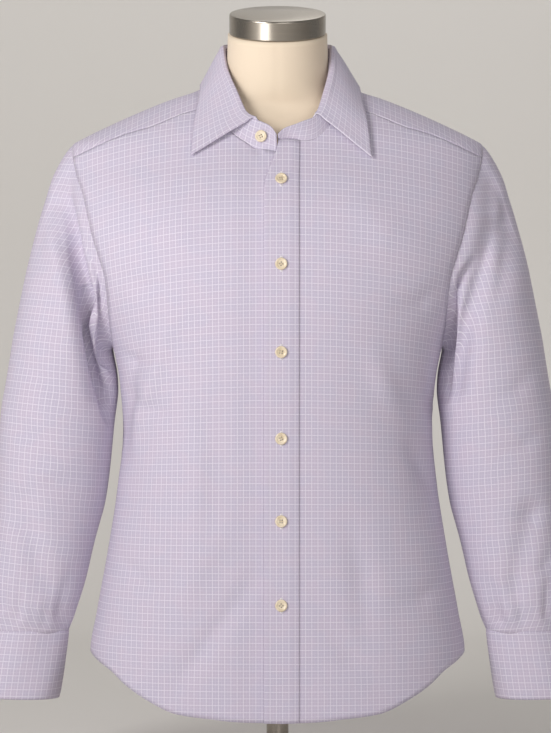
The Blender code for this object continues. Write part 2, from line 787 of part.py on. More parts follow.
def sleeve_rings(side):
    """Outer and inner rings of the left sleeve, with the folds of the named side's sleeve."""
    first, second, seam_normals = armhole_ring()
    turns = sleeve_turns(first)
    own_curve = first - sleeve_oval(0, turns)
    outer = [first, second]
    for share in shares(SLEEVE_RINGS)[1:]:
        along = 0.025 + 0.975 * share
        fade = 1 - smooth_step(along / SLEEVE_EASE_IN)
        ring = sleeve_oval(along, turns) + own_curve * fade
        for point in ring:
            front = smooth_step(-(point[1] - SLEEVE.at("y", along)) / 0.03)
            ends = smooth_step(along / 0.06) * smooth_step((1 - along) / 0.06)
            point[1] += fold_depth(side * point[0], point[2]) * front * ends
        outer.append(ring)
    outer = np.array(outer)
    opening = int(np.argmin(np.abs(np.array(turns) - CUFF_OPENING)))
    down = np.gradient(outer, axis=0)
    around = np.roll(outer, -1, axis=1) - np.roll(outer, 1, axis=1)
    normals = np.cross(around, down)
    normals /= np.linalg.norm(normals, axis=2, keepdims=True)
    middle = outer.mean(axis=1, keepdims=True)
    if np.sum(normals * (outer - middle)) < 0:
        normals = -normals
    inner = outer - CLOTH * normals
    inner[0] = outer[0] - CLOTH * seam_normals
    return outer, inner, normals, opening


def add_sleeve(side, word, finish, collection):
    outer, inner, normals, opening = sleeve_rings(side)
    flip = np.array((side, 1, 1))
    rings = list(outer * flip) + list(inner[::-1] * flip)
    mesh = loft_mesh("sleeve_" + word, rings, capped=False)
    add_object("sleeve_" + word, mesh, finish, collection)
    return outer, normals, opening


def add_sleeve_placket(side, word, sleeve, finish, collection):
    """The bound opening above the cuff, on the outer back."""
    outer, normals, opening = sleeve
    columns = [opening, opening + 1]
    lifted = outer[-6:] + (LAY_GAP + CLOTH) * normals[-6:]
    lifted[-1] = 0.85 * lifted[-1] + 0.15 * lifted[-2]
    strip = lifted[:, columns] * np.array((side, 1, 1))
    cloth("sleeve_placket_" + word, [strip], CLOTH, finish, collection, turned=side < 0)


def cuff_point(share, turn, out):
    outer = np.array((CUFF.at("out_x", share), 0, CUFF.at("out_z", share)))
    inner = np.array((CUFF.at("in_x", share), 0, CUFF.at("in_z", share)))
    middle = (outer + inner) / 2 + np.array((0, CUFF.at("y", share), 0))
    half = (outer - inner) / 2
    deep = CUFF.at("half_depth", share)
    grow = 1 + out / np.linalg.norm(half)
    deep_grow = deep + out
    return middle + half * grow * math.cos(turn) + np.array((0, -deep_grow * math.sin(turn), 0))


def add_cuff(side, word, finish, collection):
    """A band whose outer end laps over its inner one at the back."""
    rows = []
    whole = 2 * math.pi + CUFF_OVERLAP
    for share in (0, 0.5, 1):
        row = []
        for step in shares(26):
            turn = CUFF_OPENING - CUFF_OVERLAP + whole * step
            lapped = smooth_step((whole * step - 2 * math.pi + 0.5) / 0.4)
            row.append(cuff_point(share, turn, (CUFF_CLOTH + LAY_GAP) * lapped))
        rows.append(row)
    points = np.array(rows) * np.array((side, 1, 1))
    cloth("cuff_" + word, [points], CUFF_CLOTH, finish, collection, turned=side < 0)


def button_mesh():
    """A four-hole button with a raised rim, its back at height 0."""
    r = BUTTON_RADIUS
    t = BUTTON_THICK
    profile = [
        (0, t * 0.70),
        (r * 0.62, t * 0.70),
        (r * 0.76, t),
        (r * 0.92, t),
        (r, t * 0.45),
        (r * 0.88, 0),
        (0, 0),
    ]
    blank = bpy.data.objects.new("button_blank", turned_mesh("button", profile, 16))
    bpy.context.scene.collection.objects.link(blank)
    bm = bmesh.new()
    for k in range(4):
        made = bmesh.ops.create_cone(
            bm, cap_ends=True, segments=6, radius1=r * 0.12, radius2=r * 0.12, depth=4 * t
        )
        turn = math.pi / 4 + k * math.pi / 2
        middle = (r * 0.27 * math.cos(turn), r * 0.27 * math.sin(turn), t / 2)
        bmesh.ops.translate(bm, verts=made["verts"], vec=middle)
    drill_mesh = bpy.data.meshes.new("button_drill")
    bm.to_mesh(drill_mesh)
    bm.free()
    drill = bpy.data.objects.new("button_drill", drill_mesh)
    bpy.context.scene.collection.objects.link(drill)
    holes = blank.modifiers.new("Holes", "BOOLEAN")
    holes.operation = "DIFFERENCE"
    holes.object = drill
    graph = bpy.context.evaluated_depsgraph_get()
    made = bpy.data.meshes.new_from_object(blank.evaluated_get(graph))
    bpy.data.objects.remove(blank)
    bpy.data.objects.remove(drill)
    return made


def add_buttons(stand, finish, collection):
    mesh = button_mesh()
    lift = 2 * LAY_GAP + FOLDED_CLOTH + 0.0002
    for number, z in enumerate(BUTTON_HEIGHTS, start=1):
        angle = angle_at(BUTTON_X, z)
        made = add_object(f"button_{number}", mesh, finish, collection)
        normal = body_normal(angle, z)
        set_on(made, body_point(angle, z, lift), normal)
    made = add_object("button_stand", mesh, finish, collection)
    corner = stand[1:3, 1:3].mean(axis=(0, 1))
    across = stand[1, 2] - stand[1, 1]
    up = stand[2, 1] - stand[1, 1]
    outward = unit(np.cross(up, across))
    outward *= math.copysign(1, -outward[1])
    set_on(made, corner + outward * (LAY_GAP + 0.0002), outward)
    for side, word in ((-1, "right"), (1, "left")):
        turn = CUFF_OPENING - 0.17
        flip = np.array((side, 1, 1))
        place = cuff_point(0.5, turn, CUFF_CLOTH + 2 * LAY_GAP + 0.0004)
        outward = place - cuff_point(0.5, turn, -0.01)
        made = add_object("button_cuff_" + word, mesh, finish, collection)
        set_on(made, place * flip, outward * flip)


# The dress form


def form_ring(z):
    half_width = FORM.at("half_width", z)
    half_depth = FORM.at("half_depth", z)
    lean = math.radians(FORM.at("lean", z))
    ring = []
    for step in range(FORM_SIDES):
        turn = 2 * math.pi * step / FORM_SIDES
        forward = half_depth * math.cos(turn)
        y = FORM.at("y", z) + forward * math.cos(lean)
        ring.append((half_width * math.sin(turn), y, z + forward * math.sin(lean)))
    return ring


def add_form(body_finish, steel_finish, collection):
    heights = list(FORM.rows[:, 0])
    levels = []
    for low, high in zip(heights, heights[1:]):
        count = max(1, round((high - low) / 0.030))
        levels += between(low, high, count)[:-1]
    levels.append(heights[-1])
    body = loft_mesh("form_body", [form_ring(z) for z in levels], capped=True)
    add_object("form_body", body, body_finish, collection)

    r = CAP_RADIUS
    t = CAP_THICK
    cap_profile = [(0, t), (r - 0.0020, t), (r, t - 0.0020), (r, 0.0010), (r - 0.0010, 0), (0, 0)]
    cap = add_object("form_cap", turned_mesh("form_cap", cap_profile, 48), steel_finish, collection)
    axis = np.array((0, -math.sin(NECK_LEAN), math.cos(NECK_LEAN)))
    neck_top = np.array((0, FORM.at("y", 1), FORM.rows[-1, 0]))
    cap.location = neck_top + axis * LAY_GAP
    cap.rotation_euler = (NECK_LEAN, 0, 0)

    r = BASE_RADIUS
    t = BASE_THICK
    base_profile = [(0, t), (r - 0.0030, t), (r, t - 0.0030), (r, 0), (0, 0)]
    base = turned_mesh("form_base", base_profile, 64)
    add_object("form_base", base, steel_finish, collection)

    low = BASE_THICK + LAY_GAP
    high = FORM.rows[0, 0] - LAY_GAP
    post_profile = [(0, high), (POST_RADIUS, high), (POST_RADIUS, low), (0, low)]
    post = turned_mesh("form_post", post_profile, 32)
    add_object("form_post", post, steel_finish, collection)


def main():
    clear_scene()
    collection = bpy.data.collections.new("dress_shirt_on_form")
    bpy.context.scene.collection.children.link(collection)
    shirting = material("lilac_shirting", (0.60, 0.54, 0.66), 0.85)
    ivory = material("ivory_button", (0.80, 0.70, 0.52), 0.35)
    linen = material("cream_cover", (0.83, 0.72, 0.58), 0.75)
    steel = material("brushed_steel", (0.55, 0.53, 0.50), 0.30, 1.0)

    strip = add_fronts(shirting, collection)
    add_placket(strip, shirting, collection)
    add_back(shirting, collection)
    add_yoke(shirting, collection)
    stand = add_collar(shirting, collection)
    for side, word in ((-1, "right"), (1, "left")):
        sleeve = add_sleeve(side, word, shirting, collection)
        add_sleeve_placket(side, word, sleeve, shirting, collection)
        add_cuff(side, word, shirting, collection)
    add_buttons(stand, ivory, collection)
    add_form(linen, steel, collection)


main()
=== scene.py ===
import math

import bmesh
import bpy
import numpy as np
from mathutils import Matrix


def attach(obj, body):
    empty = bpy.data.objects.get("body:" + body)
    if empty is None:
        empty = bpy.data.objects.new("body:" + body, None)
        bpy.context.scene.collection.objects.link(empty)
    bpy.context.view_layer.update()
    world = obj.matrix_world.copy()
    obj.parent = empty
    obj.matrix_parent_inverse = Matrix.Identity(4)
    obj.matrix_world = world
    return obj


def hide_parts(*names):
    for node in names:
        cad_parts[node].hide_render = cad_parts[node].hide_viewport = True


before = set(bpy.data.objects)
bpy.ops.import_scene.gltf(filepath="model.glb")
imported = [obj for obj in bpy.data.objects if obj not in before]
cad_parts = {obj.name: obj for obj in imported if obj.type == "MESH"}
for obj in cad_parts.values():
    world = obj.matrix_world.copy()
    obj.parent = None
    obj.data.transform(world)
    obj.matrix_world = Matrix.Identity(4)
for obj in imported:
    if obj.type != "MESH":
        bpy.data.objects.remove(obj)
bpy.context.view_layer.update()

# Long sleeve dress shirt, buttoned, on a limbless dress form. Metres, +Z up, -Y is the front,
# +X is the wearer's left. Surfaces are grids of points; flat sizes of the cloth are the UVs.

fine = 7
print("frame loaded")


def smoothStep(value):
    value = np.clip(value, 0.0, 1.0)
    return value * value * (3 - 2 * value)


def unit(vectors):
    return vectors / np.maximum(np.linalg.norm(vectors, axis=-1, keepdims=True), 1e-12)


# A smooth curve through rows that never overshoots, read at many places at once.
def through(x, y, value):
    step = np.diff(x)
    rise = np.diff(y, axis=0) / step[:, None]
    slope = np.zeros_like(y)
    slope[0] = rise[0]
    slope[-1] = rise[-1]
    product = rise[:-1] * rise[1:]
    total = np.where(product > 0, rise[:-1] + rise[1:], 1.0)
    slope[1:-1] = np.where(product > 0, 2 * product / total, 0.0)
    value = np.clip(np.asarray(value, float), x[0], x[-1])
    i = np.minimum(np.searchsorted(x, value, "right") - 1, len(x) - 2)
    t = ((value - x[i]) / step[i])[..., None]
    reach = step[i][..., None]
    ends = y[i] * (1 + 2 * t) * (1 - t) ** 2 + y[i + 1] * t * t * (3 - 2 * t)
    return ends + reach * (slope[i] * t * (1 - t) ** 2 - slope[i + 1] * t * t * (1 - t))


class Curve:
    def __init__(self, columns, *rows):
        self.columns = columns.split()
        self.rows = np.array(rows, float)

    def at(self, column, value):
        k = self.columns.index(column)
        return through(self.rows[:, 0], self.rows[:, k : k + 1], value)[..., 0]


# Shape of the shirt

bodyCurve = Curve(
    "z halfWidth front back power",
    (0.050, 0.2130, 0.127, 0.122, 2.5),
    (0.129, 0.2126, 0.127, 0.124, 2.5),
    (0.172, 0.2055, 0.126, 0.123, 2.5),
    (0.241, 0.1930, 0.123, 0.119, 2.45),
    (0.309, 0.1825, 0.119, 0.114, 2.4),
    (0.378, 0.1760, 0.118, 0.111, 2.35),
    (0.429, 0.1790, 0.121, 0.113, 2.35),
    (0.470, 0.1865, 0.124, 0.118, 2.35),
    (0.530, 0.2110, 0.128, 0.124, 2.35),
    (0.570, 0.2280, 0.127, 0.127, 2.3),
    (0.620, 0.2420, 0.117, 0.127, 2.2),
    (0.650, 0.2445, 0.105, 0.123, 2.1),
    (0.680, 0.2430, 0.0875, 0.115, 2.0),
    (0.695, 0.2380, 0.0785, 0.110, 2.0),
    (0.7025, 0.2325, 0.0745, 0.106, 2.0),
    (0.7110, 0.2180, 0.0703, 0.102, 2.0),
    (0.7196, 0.2005, 0.0655, 0.097, 2.0),
    (0.737, 0.1625, 0.0530, 0.087, 2.0),
    (0.754, 0.1205, 0.0395, 0.077, 2.0),
    (0.763, 0.0935, 0.0300, 0.071, 2.0),
    (0.772, 0.0780, 0.0210, 0.0645, 2.0),
    (0.780, 0.0715, 0.0160, 0.0590, 2.0),
    (0.790, 0.0680, 0.0120, 0.0545, 2.0),
)
hemCurve = Curve(
    "x z",
    (0.000, 0.0600),
    (0.038, 0.0611),
    (0.075, 0.0645),
    (0.111, 0.0690),
    (0.146, 0.0842),
    (0.169, 0.0987),
    (0.185, 0.1122),
    (0.201, 0.1215),
    (0.2126, 0.1290),
)
armholeCurve = Curve(
    "z front back",
    (0.470, 0.1865, 0.1865),
    (0.497, 0.1889, 0.1905),
    (0.527, 0.1905, 0.1950),
    (0.549, 0.1927, 0.1985),
    (0.567, 0.1980, 0.2025),
    (0.595, 0.2068, 0.2090),
    (0.642, 0.2182, 0.2195),
    (0.668, 0.2275, 0.2280),
    (0.691, 0.2320, 0.2320),
    (0.7025, 0.2325, 0.2325),
)
shoulderCurve = Curve(
    "x z",
    (0.0718, 0.7430),
    (0.1036, 0.7356),
    (0.1403, 0.7203),
    (0.1731, 0.7107),
    (0.2215, 0.6905),
    (0.2348, 0.6850),
)
necklineCurve = Curve(
    "angle z",
    (0, 0.784),
    (45, 0.782),
    (75, 0.779),
    (90, 0.776),
    (105, 0.765),
    (121, 0.743),
    (135, 0.722),
    (150, 0.704),
    (165, 0.694),
    (180, 0.690),
)
foldCurve = Curve(
    "angle x y z",
    (0, 0.0000, 0.0480, 0.8200),
    (15, 0.0145, 0.0472, 0.8198),
    (45, 0.0415, 0.0360, 0.8180),
    (90, 0.0615, -0.0020, 0.8120),
    (114, 0.0590, -0.0290, 0.7875),
    (135, 0.0490, -0.0540, 0.7555),
    (150, 0.0375, -0.0680, 0.7295),
    (165, 0.0205, -0.0755, 0.7215),
    (176, 0.0066, -0.0785, 0.7145),
    (180, 0.0002, -0.0795, 0.7070),
)
leafCurve = Curve(
    "share x y clear",
    (0.00, 0.0000, 0.0820, 0.0040),
    (0.08, 0.0190, 0.0812, 0.0040),
    (0.25, 0.0540, 0.0660, 0.0040),
    (0.46, 0.0830, 0.0330, 0.0040),
    (0.60, 0.0885, 0.0000, 0.0035),
    (0.74, 0.0910, -0.0320, 0.0035),
    (0.86, 0.0955, -0.0520, 0.0035),
    (1.00, 0.1000, -0.0790, 0.0030),
)
sleeveCurve = Curve(
    "along outX outZ inX inZ y halfDepth",
    (0.00, 0.2325, 0.7025, 0.1865, 0.4700, 0.000, 0.078),
    (0.04, 0.2485, 0.6850, 0.1885, 0.4705, 0.000, 0.077),
    (0.08, 0.2560, 0.6650, 0.1878, 0.4675, 0.000, 0.076),
    (0.13, 0.2630, 0.6430, 0.1866, 0.4620, 0.000, 0.074),
    (0.20, 0.2710, 0.6170, 0.1847, 0.4530, 0.000, 0.072),
    (0.28, 0.2800, 0.5830, 0.1822, 0.4390, 0.000, 0.070),
    (0.36, 0.2880, 0.5490, 0.1815, 0.4200, 0.000, 0.068),
    (0.44, 0.2950, 0.5140, 0.1845, 0.3970, -0.001, 0.066),
    (0.52, 0.3015, 0.4800, 0.1877, 0.3650, -0.002, 0.064),
    (0.60, 0.3070, 0.4430, 0.1910, 0.3300, -0.004, 0.061),
    (0.68, 0.3140, 0.4000, 0.1967, 0.2920, -0.007, 0.057),
    (0.76, 0.3170, 0.3500, 0.2045, 0.2640, -0.010, 0.053),
    (0.84, 0.3185, 0.2920, 0.2110, 0.2370, -0.013, 0.050),
    (0.91, 0.3245, 0.2400, 0.2165, 0.2120, -0.016, 0.047),
    (0.97, 0.3310, 0.1880, 0.2260, 0.1800, -0.019, 0.042),
    (1.00, 0.3285, 0.1560, 0.2355, 0.1540, -0.020, 0.033),
)
cuffCurve = Curve(
    "share inX inZ outX outZ y halfDepth",
    (0, 0.2355, 0.1530, 0.3285, 0.1550, -0.020, 0.0330),
    (1, 0.2465, 0.0760, 0.3395, 0.0780, -0.022, 0.0335),
)
formCurve = Curve(
    "z y halfWidth halfDepth lean",
    (0.1200, 0.000, 0.1380, 0.0780, 0),
    (0.1215, 0.000, 0.1460, 0.0850, 0),
    (0.1280, 0.000, 0.1530, 0.0910, 0),
    (0.1600, -0.001, 0.1640, 0.0980, 0),
    (0.2200, -0.001, 0.1680, 0.1030, 0),
    (0.3000, -0.002, 0.1600, 0.0990, 0),
    (0.3780, -0.003, 0.1530, 0.0960, 0),
    (0.4500, -0.003, 0.1600, 0.1010, 0),
    (0.5300, -0.002, 0.1680, 0.1080, 0),
    (0.5900, 0.002, 0.1720, 0.1090, 0),
    (0.6400, 0.008, 0.1780, 0.1000, 0),
    (0.6800, 0.014, 0.1830, 0.0860, 0),
    (0.7020, 0.016, 0.1800, 0.0760, 0),
    (0.7170, 0.016, 0.1640, 0.0690, 0),
    (0.7310, 0.015, 0.1380, 0.0620, 2),
    (0.7430, 0.012, 0.1100, 0.0570, 4),
    (0.7520, 0.008, 0.0860, 0.0540, 6),
    (0.7610, 0.003, 0.0700, 0.0530, 9),
    (0.7760, -0.004, 0.0595, 0.0530, 12),
    (0.8000, -0.013, 0.0572, 0.0540, 15),
    (0.8258, -0.022, 0.0562, 0.0555, 17),
)

seams = {
    "underarm": 0.470,
    "sideNotch": 0.129,
    "tailDrop": 0.010,
    "backYokeSide": 0.668,
    "backYokeMiddle": 0.674,
    "shoulderNeck": 121.0,
    "placketEdge": -0.0148,
    "placketSeam": 0.0244,
    "placketTurn": 0.645,
    "underEdge": 0.0225,
    "leftNeck": (179.6, 171.0, 161.5),
    "rightNeck": (184.5, 179.6, 170.5),
    "leftLeafEnd": 150.5,
    "rightLeafEnd": 159.0,
    "neckRaise": 0.011,
    "foldShift": 0.0045,
    "leafShift": 0.0045,
}
walls = {"panel": 0.0009, "folded": 0.0015, "cuff": 0.0018, "lay": 0.0003}
sideRows = 10 * fine
armholeRows = 11 * fine
frontColumns = 9 * fine
backColumns = 16 * fine

# Folds, each a line of places: x, z, half width, depth pressed in. Below zero it stands out.
# With five numbers, the half width is given to the left and to the right of a falling line.
broadFolds = (
    ((-0.237, 0.672, 0.014, 0.005), (-0.240, 0.630, 0.014, 0.005)),
    ((-0.240, 0.630, 0.014, 0.011), (-0.221, 0.534, 0.014, 0.011)),
    ((-0.221, 0.534, 0.013, 0.012), (-0.197, 0.420, 0.013, 0.012)),
    ((0.240, 0.668, 0.014, 0.005), (0.243, 0.610, 0.014, 0.005)),
    ((0.243, 0.610, 0.013, 0.010), (0.216, 0.520, 0.013, 0.010)),
    ((0.216, 0.520, 0.012, 0.011), (0.199, 0.430, 0.012, 0.011)),
    ((-0.285, 0.300, 0.014, 0.005), (-0.262, 0.205, 0.014, 0.005)),
    ((0.283, 0.290, 0.014, 0.005), (0.264, 0.200, 0.014, 0.005)),
    ((-0.122, 0.480, 0.024, 0.004), (-0.155, 0.380, 0.024, 0.004)),
    ((-0.092, 0.370, 0.028, 0.004), (-0.096, 0.240, 0.028, 0.004)),
    ((0.150, 0.400, 0.024, 0.004), (0.172, 0.300, 0.024, 0.004)),
    ((-0.050, 0.200, 0.020, 0.003), (-0.115, 0.110, 0.020, 0.003)),
)
frontFolds = (
    (
        (-0.112, 0.520, 0.010, 0.0), (-0.128, 0.470, 0.009, -0.0016),
        (-0.150, 0.405, 0.010, -0.0028), (-0.168, 0.350, 0.011, 0.0),
    ),
    (
        (-0.150, 0.500, 0.008, 0.0), (-0.163, 0.440, 0.007, 0.0022),
        (-0.171, 0.372, 0.008, 0.0030), (-0.172, 0.330, 0.009, 0.0),
    ),
    ((-0.180, 0.470, 0.006, 0.0), (-0.160, 0.455, 0.006, 0.0020), (-0.130, 0.452, 0.008, 0.0)),
    ((-0.176, 0.430, 0.007, 0.0), (-0.150, 0.405, 0.007, 0.0018), (-0.112, 0.396, 0.010, 0.0)),
    (
        (-0.096, 0.430, 0.012, 0.0), (-0.088, 0.340, 0.014, -0.0022),
        (-0.092, 0.240, 0.016, -0.0018), (-0.104, 0.160, 0.014, 0.0),
    ),
    (
        (-0.012, 0.236, 0.010, 0.0), (-0.052, 0.182, 0.011, 0.0018),
        (-0.092, 0.128, 0.012, 0.0022), (-0.125, 0.082, 0.012, 0.0),
    ),
    ((-0.050, 0.300, 0.016, 0.0), (-0.070, 0.250, 0.014, -0.0014), (-0.120, 0.170, 0.016, 0.0)),
    ((-0.186, 0.250, 0.008, 0.0), (-0.150, 0.215, 0.010, 0.0018), (-0.112, 0.205, 0.012, 0.0)),
    ((0.166, 0.452, 0.007, 0.0), (0.172, 0.412, 0.007, 0.0026), (0.178, 0.380, 0.007, 0.0)),
    ((0.142, 0.372, 0.009, 0.0), (0.164, 0.330, 0.009, 0.0026), (0.182, 0.292, 0.009, 0.0)),
    ((0.100, 0.480, 0.014, 0.0), (0.118, 0.430, 0.013, -0.0020), (0.150, 0.370, 0.013, 0.0)),
    ((0.076, 0.300, 0.016, 0.0), (0.092, 0.220, 0.015, 0.0020), (0.098, 0.120, 0.014, 0.0)),
    ((0.040, 0.180, 0.012, 0.0), (0.080, 0.130, 0.012, 0.0014), (0.130, 0.095, 0.012, 0.0)),
    ((0.196, 0.215, 0.008, 0.0), (0.160, 0.195, 0.010, 0.0016), (0.120, 0.190, 0.012, 0.0)),
    ((-0.188, 0.560, 0.009, 0.0), (-0.150, 0.540, 0.010, 0.0014), (-0.100, 0.540, 0.014, 0.0)),
    ((0.190, 0.545, 0.009, 0.0), (0.158, 0.520, 0.010, 0.0016), (0.120, 0.515, 0.013, 0.0)),
    ((-0.034, 0.706, 0.004, 0.0), (-0.026, 0.698, 0.004, 0.0016), (-0.016, 0.684, 0.005, 0.0)),
    ((-0.060, 0.640, 0.020, 0.0), (-0.110, 0.600, 0.022, -0.0016), (-0.170, 0.590, 0.018, 0.0)),
    ((0.070, 0.640, 0.020, 0.0), (0.120, 0.600, 0.022, -0.0016), (0.175, 0.590, 0.018, 0.0)),
)
backFolds = (
    ((0.000, 0.660, 0.010, 0.0), (0.004, 0.560, 0.012, 0.0020), (0.002, 0.430, 0.014, 0.0)),
    ((-0.060, 0.640, 0.012, 0.0), (-0.066, 0.540, 0.014, -0.0022), (-0.060, 0.420, 0.014, 0.0)),
    ((0.064, 0.650, 0.012, 0.0), (0.070, 0.550, 0.013, -0.0020), (0.058, 0.430, 0.014, 0.0)),
    ((-0.180, 0.520, 0.009, 0.0), (-0.130, 0.480, 0.010, 0.0024), (-0.070, 0.450, 0.012, 0.0)),
    ((0.184, 0.500, 0.009, 0.0), (0.140, 0.455, 0.010, 0.0026), (0.080, 0.430, 0.012, 0.0)),
    ((-0.172, 0.430, 0.008, 0.0), (-0.110, 0.405, 0.009, 0.0030), (-0.030, 0.395, 0.011, 0.0)),
    ((0.170, 0.410, 0.008, 0.0), (0.100, 0.388, 0.009, 0.0026), (0.020, 0.380, 0.010, 0.0)),
    ((-0.168, 0.360, 0.010, 0.0), (-0.090, 0.352, 0.010, -0.0024), (0.010, 0.362, 0.012, 0.0)),
    ((-0.100, 0.300, 0.014, 0.0), (-0.112, 0.220, 0.015, 0.0024), (-0.118, 0.120, 0.014, 0.0)),
    ((0.094, 0.300, 0.014, 0.0), (0.110, 0.210, 0.015, 0.0022), (0.112, 0.110, 0.014, 0.0)),
    ((0.010, 0.280, 0.016, 0.0), (0.020, 0.190, 0.016, -0.0018), (0.014, 0.090, 0.014, 0.0)),
)
# Fronts of the sleeves: each has its own folds
rightSleeveFront = (
    (
        (-0.2335, 0.676, 0.004, 0.006, 0.000),
        (-0.2370, 0.640, 0.004, 0.007, 0.009),
        (-0.2290, 0.580, 0.004, 0.008, 0.016),
        (-0.2190, 0.533, 0.004, 0.009, 0.020),
        (-0.2100, 0.490, 0.004, 0.011, 0.023),
        (-0.2030, 0.450, 0.004, 0.013, 0.023),
        (-0.1950, 0.412, 0.004, 0.012, 0.018),
        (-0.1880, 0.380, 0.004, 0.009, 0.000),
    ),
    (
        (-0.2218, 0.610, 0.004, 0.004, 0.000),
        (-0.2050, 0.573, 0.005, 0.005, 0.010),
        (-0.1960, 0.537, 0.006, 0.006, 0.015),
        (-0.1925, 0.493, 0.006, 0.008, 0.017),
        (-0.1870, 0.455, 0.006, 0.008, 0.010),
    ),
    (
        (-0.262, 0.640, 0.010, 0.0), (-0.252, 0.590, 0.009, -0.0030),
        (-0.236, 0.520, 0.010, -0.0034), (-0.226, 0.440, 0.010, 0.0),
    ),
    (
        (-0.228, 0.560, 0.006, 0.0), (-0.214, 0.500, 0.007, 0.0050),
        (-0.200, 0.440, 0.008, 0.0050), (-0.196, 0.410, 0.008, 0.0),
    ),
    ((-0.300, 0.480, 0.010, 0.0), (-0.270, 0.440, 0.010, 0.0022), (-0.232, 0.420, 0.010, 0.0)),
    ((-0.306, 0.400, 0.009, 0.0), (-0.280, 0.372, 0.009, 0.0028), (-0.236, 0.366, 0.010, 0.0)),
    ((-0.300, 0.345, 0.010, 0.0), (-0.262, 0.330, 0.009, -0.0022), (-0.220, 0.345, 0.010, 0.0)),
    ((-0.312, 0.300, 0.007, 0.0), (-0.290, 0.270, 0.008, 0.0026), (-0.250, 0.262, 0.010, 0.0)),
    ((-0.308, 0.180, 0.004, 0.0030), (-0.306, 0.205, 0.006, 0.0022), (-0.300, 0.240, 0.008, 0.0)),
    ((-0.290, 0.170, 0.005, 0.0022), (-0.286, 0.205, 0.007, 0.0016), (-0.284, 0.240, 0.008, 0.0)),
    ((-0.246, 0.170, 0.006, 0.0036), (-0.240, 0.195, 0.008, 0.0030), (-0.226, 0.235, 0.009, 0.0)),
    ((-0.268, 0.165, 0.006, -0.0020), (-0.264, 0.200, 0.008, -0.0016), (-0.262, 0.236, 0.009, 0.0)),
)
leftSleeveFront = (
    (
        (0.2230, 0.575, 0.004, 0.004, 0.000),
        (0.2080, 0.550, 0.006, 0.004, 0.010),
        (0.1985, 0.520, 0.008, 0.004, 0.018),
        (0.1940, 0.485, 0.008, 0.004, 0.020),
        (0.1900, 0.440, 0.008, 0.004, 0.014),
        (0.1880, 0.405, 0.007, 0.004, 0.000),
    ),
    (
        (0.256, 0.660, 0.008, 0.0), (0.261, 0.600, 0.010, 0.0030),
        (0.250, 0.545, 0.010, 0.0026), (0.238, 0.500, 0.010, 0.0),
    ),
    (
        (0.244, 0.680, 0.006, 0.0), (0.246, 0.630, 0.007, -0.0026),
        (0.240, 0.570, 0.008, -0.0030), (0.226, 0.530, 0.008, 0.0),
    ),
    ((0.282, 0.620, 0.012, 0.0), (0.276, 0.560, 0.014, -0.0026), (0.262, 0.500, 0.014, 0.0)),
    (
        (0.210, 0.520, 0.006, 0.0), (0.206, 0.480, 0.008, 0.0050),
        (0.200, 0.430, 0.008, 0.0040), (0.198, 0.400, 0.008, 0.0),
    ),
    ((0.298, 0.460, 0.010, 0.0), (0.268, 0.425, 0.010, 0.0024), (0.228, 0.410, 0.010, 0.0)),
    ((0.308, 0.390, 0.010, 0.0), (0.276, 0.362, 0.009, 0.0022), (0.236, 0.352, 0.010, 0.0)),
    ((0.312, 0.300, 0.009, 0.0), (0.284, 0.282, 0.009, 0.0030), (0.246, 0.282, 0.010, 0.0)),
    ((0.312, 0.250, 0.008, 0.0), (0.298, 0.226, 0.007, 0.0026), (0.272, 0.214, 0.008, 0.0)),
    ((0.300, 0.172, 0.005, 0.0026), (0.302, 0.200, 0.006, 0.0020), (0.306, 0.235, 0.008, 0.0)),
    ((0.272, 0.168, 0.006, 0.0022), (0.268, 0.200, 0.007, 0.0018), (0.262, 0.232, 0.008, 0.0)),
    ((0.250, 0.166, 0.006, 0.0030), (0.240, 0.200, 0.007, 0.0024), (0.230, 0.226, 0.008, 0.0)),
)
# Backs of the sleeves: the same on each side, with x as the distance from the middle
sleeveBack = (
    ((0.262, 0.640, 0.012, 0.0), (0.254, 0.570, 0.012, 0.0030), (0.240, 0.490, 0.012, 0.0)),
    ((0.224, 0.560, 0.009, 0.0), (0.216, 0.500, 0.009, 0.0040), (0.206, 0.430, 0.010, 0.0)),
    ((0.300, 0.470, 0.011, 0.0), (0.266, 0.430, 0.010, 0.0030), (0.226, 0.405, 0.011, 0.0)),
    ((0.306, 0.400, 0.010, 0.0), (0.270, 0.375, 0.010, -0.0026), (0.230, 0.360, 0.011, 0.0)),
    ((0.310, 0.350, 0.009, 0.0), (0.274, 0.322, 0.009, 0.0032), (0.230, 0.312, 0.010, 0.0)),
    ((0.306, 0.168, 0.006, 0.0030), (0.302, 0.205, 0.008, 0.0022), (0.292, 0.250, 0.009, 0.0)),
    ((0.270, 0.165, 0.006, 0.0030), (0.268, 0.205, 0.008, 0.0022), (0.262, 0.250, 0.009, 0.0)),
)


def pressed(x, z, folds):
    total = np.zeros_like(x)
    for line in folds:
        nearest = np.full(x.shape, 99.0)
        depth = np.zeros_like(x)
        for a, b in zip(line, line[1:]):
            acrossX = b[0] - a[0]
            acrossZ = b[1] - a[1]
            share = ((x - a[0]) * acrossX + (z - a[1]) * acrossZ) / (acrossX**2 + acrossZ**2)
            share = np.clip(share, 0, 1)
            away = np.hypot(x - a[0] - share * acrossX, z - a[1] - share * acrossZ)
            onLeft = (x - a[0]) * acrossZ - (z - a[1]) * acrossX > 0
            left = a[2] + share * (b[2] - a[2])
            right = a[-2] + share * (b[-2] - a[-2])
            away = away / np.where(onLeft, left, right)
            here = (a[-1] + share * (b[-1] - a[-1])) * np.exp(-(away**2))
            depth = np.where(away < nearest, here, depth)
            nearest = np.minimum(away, nearest)
        total += depth
    return total


def broadest(x, z):
    return np.max([pressed(x, z, [line]) for line in broadFolds], axis=0)


